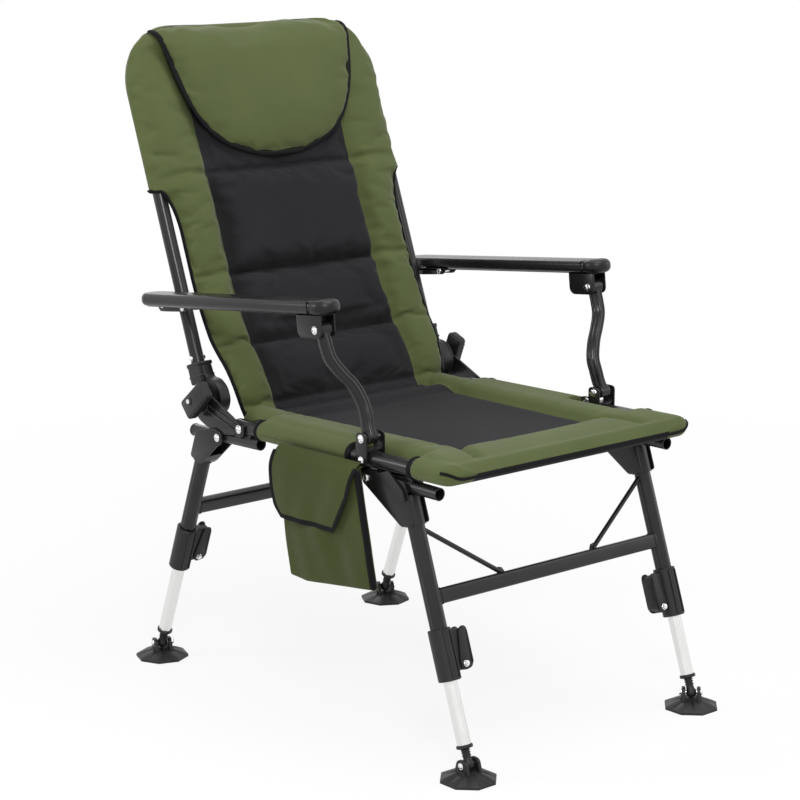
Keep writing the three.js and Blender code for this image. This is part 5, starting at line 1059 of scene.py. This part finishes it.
BEHIND_SHARES = np.array([0.99, 0.945, 0.86, 0.72, 0.5, 0.25, 0.0])
WRAPPED_DEPTHS, SLIM_DEPTHS = (12, WRAP_BEHIND + 3, WRAP_BEHIND + 2, 8, 6, 6, 6), (3, 6, 9, 11, 13, 13, 13)


def along_cover(pairs, t):
    return float(np.interp(t, *zip(*pairs)))


def cover_half(t):
    corner_x, corner_t = COVER_WIDE - CORNER_RADIUS, COVER_TOP - CORNER_RADIUS
    if t > corner_t:
        return corner_x + math.sqrt(max(0, CORNER_RADIUS**2 - (t - corner_t) ** 2))
    share = np.clip((t - SLEEVE_END + SLEEVE_RUN) / SLEEVE_RUN, 0, 1)
    return along_cover(FOLD_HALVES, t) + (COVER_WIDE - COVER_SLIM) * (1 - math.sqrt(1 - share**2))


def cover_edge(t):
    """How far the cover's outer edge stands forward: in front of the tube where it is slim, round it above."""
    slim = SLIM_EDGE * float(smooth(-40, 60, t))
    return slim + (SLEEVE_EDGE - slim) * float(smooth(SLEEVE_END - 5, SLEEVE_END + 2, t))


def cover_lines():
    """The cover's rows from its foot up: a place on the seam line (n, t), and the outward way."""
    fold = curved([(n, t, 0) for n, t in COVER_LINE], 5)[::-1, :2]
    straight = np.arange(COVER_LINE[0][1] + COVER_STEP, TOP_START, COVER_STEP)
    over = TOP_START + TOP_ROLL * np.sin(np.linspace(0, 90, 10) * DEGREE)
    spots = np.vstack([fold, np.stack([np.zeros(len(straight) + 10), [*straight, *over]], 1)])
    ways = unit(np.gradient(spots, axis=0))
    return spots, np.stack([-ways[:, 1], ways[:, 0]], 1)


def from_channel(t):
    return min(abs(t - at) for at in CHANNELS)


def clear_of_tube(piece):
    """At the cover's sides, cloth that came too near the back tube goes back out to its own distance."""
    axis = placed(dense(back_tube_path())[0], BACK)
    points = gathered(piece.data)
    distance, index = nearest(points, axis)
    keep = (BACK_TUBE_RADIUS + CLOTH_CLEARANCE) * MM
    beside_tube = np.abs(points[:, 0]) > (BACK_TUBE_X - BACK_TUBE_BEND / 2) * MM
    near = (distance < keep) & (distance > 0) & beside_tube
    way = points[near] - axis[index[near]]
    points[near] = axis[index[near]] + way * (keep / distance[near])[:, None]
    reshape(piece, points)


def fold_blend(piece):
    """Moves the piece's place into its points."""
    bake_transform(piece)


def cover_row(base_n, t, out_n, out_t):
    """One loop of the cover: over its panel and border, round its edge, behind, and back on the left."""
    half, edge, channel = cover_half(t), cover_edge(t), from_channel(t)
    seam = min(COVER_SEAM, half * 0.9)
    closing = math.sqrt(max(0.0, 1 - max(0.0, (t - TOP_START) / TOP_ROLL) ** 2))
    inner = np.linspace(0, seam, COVER_PANEL)
    outer = seam + (half - seam) * np.sin(np.linspace(0, 90, COVER_BORDER + 1)[1:] * DEGREE) ** 0.85
    padded = along_cover(PANEL_DEPTHS, t) * rise(seam - inner, 26) * float(rise(channel, 22))
    padded -= 3.5 * bell(channel, 5) * rise(seam - inner, 20)
    crest = along_cover(BORDER_DEPTHS, t) - 6 * bell(channel, 7) * (t < 420)
    inside = crest * rise(outer - seam, 25)
    outside = edge + (crest - edge) * fall(outer, seam + (half - seam) * 0.34, half)
    front = edge + (np.concatenate([padded, np.minimum(inside, outside)]) - edge) * closing
    behind = edge - np.array(WRAPPED_DEPTHS if edge < 0 else SLIM_DEPTHS) * closing
    spots = zip([*inner, *outer, *BEHIND_SHARES * half], [*front, *behind])
    dip = 4 * bell(t - COVER_TOP, 40)
    return [(x, n, up - dip * bell(x + 20, 75))
            for x, n, up in looped([(x, base_n + out_n * f, t + out_t * f) for x, f in spots])]


def back_cover():
    """Padded cover: black panels between sewn channels, and green borders that wrap the back tube."""
    spots, outs = cover_lines()
    rows = np.array([cover_row(*spot, *out) for spot, out in zip(spots, outs)])
    count, columns = rows.shape[1], np.arange(rows.shape[1])
    mirror, edge_at = count - COVER_PANEL + 1, COVER_PANEL + COVER_BORDER - 1
    front, pins = np.zeros(rows.shape[:2]), np.zeros(rows.shape[:2])
    front[:, :COVER_PANEL] = front[:, mirror:] = 1
    pins[:, [COVER_PANEL - 1, mirror]] = pins[:, edge_at : count - edge_at + 1] = 1
    sewn = np.array([from_channel(t) < 2.9 for t in spots[:, 1]])
    pins[sewn] = np.maximum(pins, front)[sewn]
    pins[:2] = pins[-3:] = 1
    dark = [1] * (COVER_PANEL - 1) + [0] * (COVER_BORDER + 4) + [1] * 3
    dark += dark[::-1]
    piece = cloth("back_cover", rows, [green, black], lambda r, c: dark[c], place=BACK)
    swollen(piece, pins.ravel(), pressure=2.6, cap=8, slack=0.05)
    run = runs(spots)
    channel_rows = [int(np.abs(spots[:, 1] - at).argmin()) for at in CHANNELS[1:]]
    right = np.tile(np.clip((edge_at - 1 - columns) / 6, 0, 1) * (columns >= COVER_PANEL), (len(rows), 1))
    seams = []
    for column, mask in ((COVER_PANEL - 1, right), (mirror, np.roll(right[:, ::-1], 1, axis=1))):
        seams.append((rows[:, column], pinch_spots(run[-1], run[channel_rows], 40), mask, 0.45))
    for row in channel_rows:
        line = np.vstack([rows[row, mirror:], rows[row, :COVER_PANEL]])
        seams.append((line, pinch_spots(2 * COVER_SEAM, (), 60, 0.5), front, 0.6))
    pinched(piece, rows, seams, pins)
    refined(piece)
    clear_of_tube(piece)
    fold_blend(piece)
    belongs(piece, None, ["back_cushion", "crease_fabric"])


def cover_bindings():
    for side, hand in HANDS.items():
        edge = []
        for (n, t), (out_n, out_t) in zip(*cover_lines()):
            if t < SLEEVE_END:
                f = cover_edge(t)
                edge.append((hand * (cover_half(t) + 0.8), n + out_n * f, t + out_t * f))
        for angle in np.linspace(8, 165, 14) * DEGREE:
            across, up = math.cos(angle), math.sin(angle)
            edge.append((hand * (COVER_WIDE - 16 + 16.6 * across), BACK_TUBE_N + 15 * up, SLEEVE_END + 2 * up))
        fold_blend(tape(f"cover_binding_{side}", edge, None, 9, 3.4, (hand, 0, 0), BACK))


# Headrest pillow
PILLOW_SHARES = [(0, 0.2), (0.03, 0.36), (0.08, 0.53), (0.16, 0.68), (0.27, 0.79), (0.42, 0.88), (0.6, 0.94),
                 (0.8, 0.985), (1, 1)]
PILLOW_FOOT, PILLOW_RISE, PILLOW_HALF, PILLOW_BULGE, PILLOW_BASE, PILLOW_TOP = 412, 198, 213, 25, -18, 660
PILLOW_LENGTH, PILLOW_COLUMNS = 300, 46


def pillow_spot(share, across):
    """A place on the pillow's base, up the cover's front and over its top, and its outward way."""
    length = share * PILLOW_LENGTH
    base = PILLOW_BASE - 7 * min(1, abs(across) / 190) ** 2
    if length < PILLOW_RISE:
        return (base, PILLOW_FOOT + length), (-1, 0)
    angle = (length - PILLOW_RISE) / 46
    wide = BACK_TUBE_N - base if angle < math.pi / 2 else 14
    high = PILLOW_TOP - PILLOW_FOOT - PILLOW_RISE - 12 * max(0, (abs(across) - 130) / 80) ** 2
    spot = (BACK_TUBE_N - wide * math.cos(angle), PILLOW_FOOT + PILLOW_RISE + high * math.sin(angle))
    return spot, (-math.cos(angle), math.sin(angle))


def pillow_width(share):
    """Half the pillow's width: round at the foot, then nearly straight."""
    smoothed = curved([(a, b, 0) for a, b in PILLOW_SHARES], 8)
    return PILLOW_HALF * float(np.interp(share, smoothed[:, 0], smoothed[:, 1]))


def pillow_edge():
    """The pillow's sewn edge, down its left side, along its foot, and up its right side."""
    left = []
    for share in [*np.linspace(0.855, 0.1, 65), *(0.1 * np.linspace(1, 0, 22)[1:] ** 2)]:
        half = pillow_width(share)
        (n, t), (out_n, out_t) = pillow_spot(share, half)
        left.append((-half, n + out_n * 2, t + out_t * 2))
    half = pillow_width(0)
    foot = [(x, pillow_spot(0, x)[0][0] - 2, PILLOW_FOOT - 1.5 * (1 - (x / half) ** 2))
            for x in np.linspace(-half, half, 11)[1:-1]]
    return [*left, *foot, *[(-x, n, t) for x, n, t in left[::-1]]]


def pillow():
    """A padded pillow sewn on the cover's front and over its top, bound and stitched round its edge."""
    last, rows = PILLOW_COLUMNS - 1, []
    for share in [*np.linspace(0, 0.08, 10), *np.linspace(0.08, 1, 52)[1:]]:
        half = pillow_width(share)
        lift = math.sin(math.pi * min(0.5, share * 1.1)) ** 0.6 * (1 - 0.88 * float(smooth(0.62, 0.86, share)))
        dip = 4 * float(smooth(0.7, 0.84, share))
        front, behind = [], []
        for turn in np.linspace(0, math.pi, PILLOW_COLUMNS):
            across = 0.5 - 0.5 * math.cos(turn)
            x = half * (2 * across - 1)
            (n, t), (out_n, out_t) = pillow_spot(share, x)
            bulge = max(0.0, math.sin(math.pi * across)) ** 0.5 * lift * PILLOW_BULGE - dip * bell(x + 20, 70)
            front.append((x, n + out_n * bulge, t + out_t * bulge))
            behind.append((x * 0.98, n - out_n * 3, t - out_t * 3))
        rows.append(front + behind[1:-1][::-1])
    rows = np.array(rows)
    pins, mask = np.zeros(rows.shape[:2]), np.zeros(rows.shape[:2])
    pins[:, 0] = pins[:, last:] = pins[[0, -1, -2]] = 1
    mask[:, 1:last] = 1
    piece = cloth("headrest", rows, [green], place=BACK)
    swollen(piece, pins.ravel(), pressure=2.0, cap=8, slack=0.04)
    seam = np.vstack([rows[::-1, 0], rows[:, last]])
    pinched(piece, rows, [(seam, pinch_spots(runs(seam)[-1], (), 34, 0.7), mask, 0.6)], pins)
    refined(piece)
    belongs(piece, "backrest", ["headrest_pillow"])
    edge = pillow_edge()
    tape("headrest_binding", edge, "backrest", 10.5, 3.6, place=BACK)
    inside = [(x * 0.985, n - 2.2, t) for x, n, t in edge if n < BACK_TUBE_N - 14]
    stitches("headrest_stitches", inside, "backrest", BACK)


# Seat cushion
SEAT_NOSE_Y, SEAT_REAR_Y, SEAT_HALF, SEAT_CUT, SEAT_CORNER = -281, 285, 277, 238.5, 30
ARM_CUT, HINGE_CUT = (-190, -40), 196
SEAM_HALF_FRONT, SEAM_HALF_REAR, SEAM_FRONT_Y, MITRE_FOOT_X = 158.7, 177, -168.5, 192
SLEEVE_RADIUS, SLEEVE_LIFT, REAR_ROLL = 18, 1, 9
SLEEVE = SLEEVE_RADIUS + SLEEVE_LIFT
SEAT_VALLEY, SEAT_PANEL, SEAT_CREST, SEAT_SAG, NOSE_FALL_Y = 4, 8, 22, 7, -196
PANEL_POINTS, BORDER_POINTS, WRAP_POINTS, LOW_SHARES = 24, 16, 10, np.array([0.92, 0.75, 0.5, 0.25, 0])


def seat_seam(y):
    return float(np.interp(y, [SEAM_FRONT_Y, SEAT_REAR_Y], [SEAM_HALF_FRONT, SEAM_HALF_REAR]))


def seat_sleeved(y):
    return not (ARM_CUT[0] < y < ARM_CUT[1]) and y < HINGE_CUT


def corner_reach(past):
    """How far the seat's round front corner reaches, at a distance past its start."""
    return math.sqrt(max(0.0, SEAT_CORNER**2 - max(0.0, past) ** 2))


def mitre_distance(x, y):
    """How far a place on the seat's front border is from the sewn mitre at its corner."""
    run = unit(np.array([MITRE_FOOT_X - SEAM_HALF_FRONT, SEAT_NOSE_Y - SEAM_FRONT_Y]))
    return abs((x - SEAM_HALF_FRONT) * run[1] - (y - SEAM_FRONT_Y) * run[0])


def seat_height(x, y, edge):
    """The top's height over the rail line."""
    seam = seat_seam(y)
    inward, behind = seam - x, y - SEAM_FRONT_Y
    sag = SEAT_SAG * (1 - min(1, x / RAIL_X) ** 2)
    sag *= float(rise(y - RAIL_FRONT_Y, 110) * rise(SEAT_REAR_Y - y, 150))
    if inward >= 0 and behind >= 0:
        over_tube = CROSS_RADIUS + 3.5 - ((y - REAR_CROSS_Y) / 9) ** 2
        return max(over_tube, SEAT_VALLEY + SEAT_PANEL * float(rise(inward, 24) * rise(behind, 24)) - sag)
    distance = math.hypot(max(0, -inward), max(0, -behind))
    height = SEAT_VALLEY + SEAT_CREST * float(rise(distance, 26))
    if behind < 0 and x > seam - 30:
        height -= 17 * (1 - float(rise(mitre_distance(x, y), 19))) * float(smooth(-10, 16, distance))
    height = -2 + (height + 2) * float(fall(-y, -NOSE_FALL_Y, -SEAT_NOSE_Y))
    height = max(height, RAIL_RADIUS + 3 + sag - ((y - RAIL_FRONT_Y) / 6) ** 2)
    if seat_sleeved(y):
        return height - sag - (height - SLEEVE) * float(smooth(edge - 22, edge, x))
    return -3 + (height + 3) * float(fall(x, edge - 34, edge)) - sag


def seat_stations():
    """The cushion's rows in y, closer together round its front and rear rolls and at each cut."""
    roll = SEAT_NOSE_Y + (RAIL_FRONT_Y - SEAT_NOSE_Y) * (1 - np.cos(np.linspace(0, 90, 9) * DEGREE))
    last = SEAT_REAR_Y - REAR_ROLL * (1 - np.sin(np.linspace(0, 90, 6) * DEGREE))
    edges = [y + way * 0.6 for y in (*ARM_CUT, HINGE_CUT) for way in (-1, 1)]
    middle = [y for y in np.arange(RAIL_FRONT_Y + 6, SEAT_REAR_Y - REAR_ROLL, 6.4)
              if min(abs(y - edge) for edge in edges) > 2.4 and abs(y - SEAM_FRONT_Y) > 3]
    return sorted([*roll, *middle, *edges, SEAM_FRONT_Y, *last])


def seat_row(y):
    """One loop across the cushion: over its top, round the rail's sleeve or down its cut, and under it."""
    seam, rail, sleeved = seat_seam(max(y, SEAM_FRONT_Y)), rail_height(y), seat_sleeved(y)
    rounded_half = SEAT_HALF - SEAT_CORNER + corner_reach(SEAT_NOSE_Y + SEAT_CORNER - y)
    edge = rounded_half - SLEEVE if sleeved else SEAT_CUT
    closing = math.sqrt(max(0.0, 1 - (max(0.0, RAIL_FRONT_Y - y) / (RAIL_FRONT_Y - SEAT_NOSE_Y)) ** 2))
    closing *= math.sqrt(max(0.0, 1 - (max(0.0, y - SEAT_REAR_Y + REAR_ROLL) / REAR_ROLL) ** 2))
    shares = np.linspace(0, 1, BORDER_POINTS + 1)[1:]
    x_top = np.concatenate([np.linspace(0, seam, PANEL_POINTS), seam + (edge - seam) * shares])
    z_top = [seat_height(x, y, edge) for x in x_top]
    if sleeved:
        angles = np.linspace(90, -95, WRAP_POINTS + 1)[1:] * DEGREE
        x_side = edge + SLEEVE * np.cos(angles)
        z_side = SLEEVE_LIFT + (SLEEVE_RADIUS - 1) * np.sin(angles)
    else:
        x_side = np.full(WRAP_POINTS, SEAT_CUT + 0.4)
        z_side = np.linspace(z_top[-1] - 1, -8, WRAP_POINTS)
    low = 2 - SLEEVE_RADIUS
    z_low = [low if sleeved else -9] + [low if y < RAIL_FRONT_Y + SLEEVE_RADIUS else -7 - SEAT_SAG * 0.7] * 4
    heights = SLEEVE_LIFT + (np.array([*z_top, *z_side, *z_low]) - SLEEVE_LIFT) * closing
    loop = looped([*zip([*x_top, *x_side, *LOW_SHARES * 240], heights)])
    return [(x, y, rail + height) for x, height in loop]


def seat_marks(y, row):
    """Where a row of the cushion is sewn down, where it is black, and where it is a border that may pinch."""
    panel, top, ahead = PANEL_POINTS, PANEL_POINTS + BORDER_POINTS, y <= SEAM_FRONT_Y - 1
    seam, pins, borders = seat_seam(max(y, SEAM_FRONT_Y)), [], []
    for k, (x, _, _) in enumerate(row[: top + WRAP_POINTS + 5]):
        on_seam = (k == panel - 1 and not ahead) or (abs(y - SEAM_FRONT_Y) < 1 and k < panel)
        on_mitre = y < SEAM_FRONT_Y and x > seam - 4 and mitre_distance(x, y) < 4.4
        pins.append(float(k >= top or on_seam or on_mitre))
        borders.append(float(k < top - 1 and (k >= panel or ahead)))
    dark = [int(not ahead)] * (panel - 1) + [0] * (BORDER_POINTS + WRAP_POINTS + 1) + [1] * 4
    return [marks + marks[1:-1][::-1] for marks in (pins, borders)] + [dark + dark[::-1]]


def seat_cushion():
    """Padded seat: a black panel inside green borders, mitred at the front, whose sides wrap the rails."""
    stations = seat_stations()
    rows = [seat_row(y) for y in stations]
    pins, borders, dark = map(np.array, zip(*[seat_marks(y, row) for y, row in zip(stations, rows)]))
    rows = np.array(rows)
    pins[[0, 1, -1, -2]] = 1
    piece = cloth("seat_cover", rows, [green, black], lambda r, c: int(dark[r][c]))
    swollen(piece, pins.ravel(), pressure=1.8, cap=6, slack=0.04)
    seams, mirror = [], rows.shape[1] - PANEL_POINTS + 1
    first = int(np.abs(np.array(stations) - SEAM_FRONT_Y).argmin())
    crossings = (ARM_CUT[0] - SEAM_FRONT_Y + 30, HINGE_CUT - SEAM_FRONT_Y)
    for column, hand in ((PANEL_POINTS - 1, 1), (mirror, -1)):
        mask, corner = borders * (rows[:, :, 0] * hand > 0), rows[first, column]
        seams.append((rows[first:, column], pinch_spots(440, crossings, 46, 0.8), mask, 0.5))
        foot = np.array([hand * MITRE_FOOT_X, RAIL_FRONT_Y, corner[2] + 12])
        near = mask * (rows[:, :, 1] < SEAM_FRONT_Y)
        seams.append((np.array([corner, foot]), pinch_spots(100, (), 40, 0.5), near, 0.0))
    line = np.vstack([rows[first, mirror:], rows[first, :PANEL_POINTS]])
    seams.append((line, pinch_spots(317, (), 44, 0.7), borders * (rows[:, :, 1] < SEAM_FRONT_Y - 1), 0.3))
    pinched(piece, rows, seams, pins)
    refined(piece)
    belongs(piece, "seat_frame", ["seat_cushion"])


def seat_bindings():
    edge = []
    for x in np.linspace(-SEAT_HALF + 2, SEAT_HALF - 2, 90):
        y = SEAT_NOSE_Y - 0.5 + SEAT_CORNER - corner_reach(abs(x) - SEAT_HALF + SEAT_CORNER)
        edge.append((x, y, rail_height(y) - 4 + 12 * bell(abs(x) - SEAT_HALF, 20)))
    tape("seat_front_binding", edge, "seat_frame", 5, 3.2)
    angles = np.linspace(105, -110, 26) * DEGREE
    for side, hand in HANDS.items():
        for label, y in (("front", ARM_CUT[0] + 1), ("middle", ARM_CUT[1] - 1), ("rear", HINGE_CUT + 1)):
            middle = rail_height(y) + SLEEVE_LIFT
            edge = [(hand * (RAIL_X - 2 + (SLEEVE_RADIUS + 1.3) * math.cos(a)), y,
                     middle + (SLEEVE_RADIUS - 0.4) * math.sin(a)) for a in angles]
            tape(f"sleeve_end_{label}_{side}", edge, "seat_frame", 7, 2.6, (hand, 0, 0))
        for label, low, high in (("front", *ARM_CUT), ("rear", HINGE_CUT, SEAT_REAR_Y - 2)):
            edge = [(hand * (SEAT_CUT + 0.6), y, rail_height(y) - 3) for y in np.linspace(low, high, 24)]
            tape(f"seat_edge_{label}_{side}", edge, "seat_frame", 8, 3, (1, 0, 0))
        sewn_x = hand * (RAIL_X - 2 + SLEEVE_RADIUS + 1.1)
        sewn = [(sewn_x, y, rail_height(y) - 1) for y in np.linspace(ARM_CUT[1] + 6, HINGE_CUT - 6, 12)]
        stitches(f"sleeve_stitches_{side}", sewn, "seat_frame")


# Side bag
BAG_INNER, BAG_OUTER = 283.5, 301.5
BAG_TOP, BAG_LOW, BAG_DROP = (-88, 104), ((-128, 276), (40, 254), (80, 256)), 12
BAG_ROWS, BAG_COLUMNS, BAG_SIDE = 44, 46, 4


def bag_shape(v, u, layer):
    """A place on the pouch: v down, u from front to rear, and layer from 0, its outer face, to 1."""
    top_z = rail_height(0) - BAG_DROP
    front = BAG_TOP[0] + (BAG_LOW[0][0] - BAG_TOP[0]) * v
    rear = BAG_TOP[1] + (BAG_LOW[2][0] - BAG_TOP[1]) * v + 6 * math.sin(math.pi * v)
    y = front + (rear - front) * u
    z = top_z + (np.interp(y, *zip(*BAG_LOW)) - top_z) * v
    belly = math.sin(math.pi * min(1, max(0, u))) ** 0.5 * math.sin(math.pi * min(1, v * 0.92 + 0.04)) ** 0.5
    folds = math.sin(u * 11 + 1.6 * math.sin(2.6 * v + 0.4)) * 2.8 + math.sin(u * 21 + 5 * v) * 1.5
    folds += 2.6 * math.sin(v * 9 - u * 5) * bell(v - 0.72, 0.25)
    outer = -(BAG_OUTER - 4 + 4 * belly) - folds * min(1, v * 1.4) * (0.25 + 0.75 * belly)
    inner = -(BAG_INNER + 1) - folds * 0.15
    return outer + (inner - outer) * layer, y, z


def side_bag():
    """A flat pouch of thin cloth that hangs in loose folds, with a black gusset and bound edges."""
    shares, depths = np.arange(BAG_COLUMNS + 1) / BAG_COLUMNS, np.arange(1, BAG_SIDE) / BAG_SIDE
    rows = []
    for v in np.arange(BAG_ROWS + 1) / BAG_ROWS:
        rows.append([bag_shape(v, u, 0) for u in shares] + [bag_shape(v, 1, k) for k in depths]
                    + [bag_shape(v, 1 - u, 1) for u in shares] + [bag_shape(v, 0, 1 - k) for k in depths])
    last, middle = rows[-1], -(BAG_INNER + BAG_OUTER) / 2
    for share, drop in ((0.35, 2.2), (0.75, 3.4), (1, 3.6)):
        rows.append([(x + (middle - x) * share, y, z - drop) for x, y, z in last])
    gusset_from = 2 * BAG_COLUMNS + BAG_SIDE + 1
    piece = cloth("bag_pouch", rows, [bag_green, black], lambda r, c: int(c >= gusset_from))
    refined(piece)
    belongs(piece, "seat_frame", ["side_bag"])
    front_edge = [bag_shape(v, 0, 0.25) for v in np.linspace(0.02, 1, 40)]
    tape("bag_front_binding", front_edge, "seat_frame", 7, 12, (1, 0, 0))
    start, reach = SEAT_HALF - 1, BAG_INNER - SEAT_HALF + 16
    hanger = [[(-(start + reach * s**1.6), y, rail_height(y) - 6 - 12 * s) for s in np.linspace(0, 1, 7)]
              for y in np.linspace(BAG_TOP[0] + 2, BAG_TOP[1] - 2, 34)]
    strip = cloth("bag_hanger", hanger, [bag_green], loop=False)
    belongs(strip, "seat_frame")


FLAP_X, FLAP_DROP, FLAP_RISE, FLAP_HALF = 303.6, 108, 8, 0.7
FLAP_REAR = [(0, 112), (0.3, 116), (0.62, 113), (0.86, 106), (1, 92)]
FLAP_FRONT = [(0, -92), (0.5, -78), (1, -44)]


def bag_flap():
    """The bag's cover: a doubled cloth that curves over the pouch's mouth, bound on its three free edges."""
    top, slope = rail_height(0) - 9 + FLAP_RISE, (rail_height(100) - rail_height(0)) / 100
    rows = []
    for v in np.linspace(0, 1, 26):
        rear, front = [float(np.interp(v, *zip(*pairs))) for pairs in (FLAP_REAR, FLAP_FRONT)]
        middle = []
        for u in np.linspace(0, 1, 40):
            y = front + (rear - front) * u
            wave = (2.0 * math.sin(u * 9 + 2 * v) + 1.2 * math.sin(u * 19 - 3 * v)) * v**0.6
            belly = 3.2 * math.sin(math.pi * v) + 0.6
            x = -(FLAP_X + 0.4 + belly + wave * 0.8 + 1.6) + 17 * math.exp(-v * 9)
            middle.append((x, y, top + slope * y - (FLAP_DROP + FLAP_RISE) * v))
        rows.append([(x - FLAP_HALF, y, z) for x, y, z in middle]
                    + [(x + FLAP_HALF, y, z) for x, y, z in middle[::-1]])
    rows = np.array(rows)
    piece = cloth("flap", rows, [bag_green])
    belongs(piece, "bag_flap", ["bag_flap"])
    count = rows.shape[1] // 2
    edge = np.vstack([rows[:, count - 1], rows[-1, :count][::-1][1:-1], rows[:, 0][::-1]])
    tape("flap_binding", edge[2:-2], "bag_flap", 8.5, 2.6, (1, 0, 0))


def built():
    seat_frame()
    back_frame()
    for legs in (FRONT, REAR):
        crossbar(legs)
        for side, hand in HANDS.items():
            for make in (lower_tubes, outer_leg, clamp, lever, inner_tube, mud_foot):
                make(legs, side, hand)
    for side, hand in HANDS.items():
        for make in (arm_brackets, recline_brackets, recline_knob, recline_socket, brace, spring_clip, armrest,
                     arm_support):
            make(side, hand)
    for make in (back_cover, pillow, cover_bindings, seat_cushion, seat_bindings, side_bag, bag_flap):
        make()


# Camera, light and floor
CAMERA_AT = (-2.6446, -3.0244, 1.3880)
CAMERA_AZIMUTH, CAMERA_ELEVATION = -40.91 * DEGREE, 12.53 * DEGREE
PHOTO_SIZE, FOCAL_PIXELS, CENTRE_PIXEL = 800, 2405.64, (400.15, 400.8)
SENSOR = 36
LAMPS = [("key", (-1.9, -2.5, 2.6), 1.2, 60), ("top", (0.2, -0.5, 3.4), 2.0, 44),
         ("fill", (2.6, -1.6, 1.6), 2.0, 14), ("side", (-2.8, 1.7, 1.6), 0.9, 34), ("rim", (1.2, 2.8, 2.4), 1.6, 20)]
LAMPS_AIM = (0, 0, 0.5)
WHITE = (1, 1, 1, 1)


def aimed(name, data, place, forward):
    """A camera or lamp at a place, looking forward."""
    made = bpy.data.objects.new(name, data)
    bpy.context.scene.collection.objects.link(made)
    made.location = place
    made.rotation_mode = "QUATERNION"
    made.rotation_quaternion = Vector(forward).to_track_quat("-Z", "Y")
    return made


def camera():
    data = bpy.data.cameras.new("camera")
    data.sensor_width = SENSOR
    data.lens = FOCAL_PIXELS / PHOTO_SIZE * SENSOR
    data.shift_x = (PHOTO_SIZE / 2 - CENTRE_PIXEL[0]) / PHOTO_SIZE
    data.shift_y = (CENTRE_PIXEL[1] - PHOTO_SIZE / 2) / PHOTO_SIZE
    level = math.cos(CAMERA_ELEVATION)
    forward = -math.sin(CAMERA_AZIMUTH) * level, math.cos(CAMERA_AZIMUTH) * level, -math.sin(CAMERA_ELEVATION)
    bpy.context.scene.camera = aimed("camera", data, CAMERA_AT, forward)


def seen_white(tree):
    """1 for rays from the camera, a mirror or glass, which see the pale studio."""
    path = tree.nodes.new("ShaderNodeLightPath")
    both = maths(tree, "MAXIMUM", path.outputs["Is Camera Ray"], path.outputs["Is Glossy Ray"])
    return maths(tree, "MAXIMUM", both, path.outputs["Is Transmission Ray"])


def blank_tree(owner):
    owner.use_nodes = True
    owner.node_tree.nodes.clear()
    return owner.node_tree


def finish_tree(tree, share, first, second, output):
    """An output node fed by a mix of two shaders."""
    mixed = wire(tree, "ShaderNodeMixShader", i0=share, i1=first.outputs[0], i2=second.outputs[0])
    wire(tree, output, i0=mixed.outputs[0])


def studio():
    """A white room whose floor fades from pale grey, and the lamps."""
    world = bpy.context.scene.world = bpy.data.worlds.new("studio")
    tree = blank_tree(world)
    seen, lit = [wire(tree, "ShaderNodeBackground", Color=WHITE, Strength=strength) for strength in (1.0, 0.34)]
    finish_tree(tree, seen_white(tree), lit, seen, "ShaderNodeOutputWorld")
    bpy.ops.mesh.primitive_plane_add(size=400)
    floor = bpy.context.object
    floor.name = "studio_floor"
    made = bpy.data.materials.new("pale_floor")
    tree = blank_tree(made)
    matt = wire(tree, "ShaderNodeBsdfDiffuse", Color=(0.9, 0.9, 0.9, 1))
    glow = wire(tree, "ShaderNodeEmission", Color=WHITE, Strength=1.0)
    away = wire(tree, "ShaderNodeVectorMath", {"operation": "LENGTH"}, i0=object_place(tree)).outputs["Value"]
    pale = mapped(tree, away, 0.86, 1.0, From_Min=0.7, From_Max=2.4)
    finish_tree(tree, maths(tree, "MULTIPLY", seen_white(tree), pale), matt, glow, "ShaderNodeOutputMaterial")
    floor.data.materials.append(made)
    for name, place, size, power in LAMPS:
        data = bpy.data.lights.new(name, "AREA")
        data.shape = "DISK"
        data.size = size
        data.energy = power
        aimed(name, data, place, Vector(LAMPS_AIM) - Vector(place))


camera()
studio()
built()
bpy.context.scene.view_settings.view_transform = "Standard"
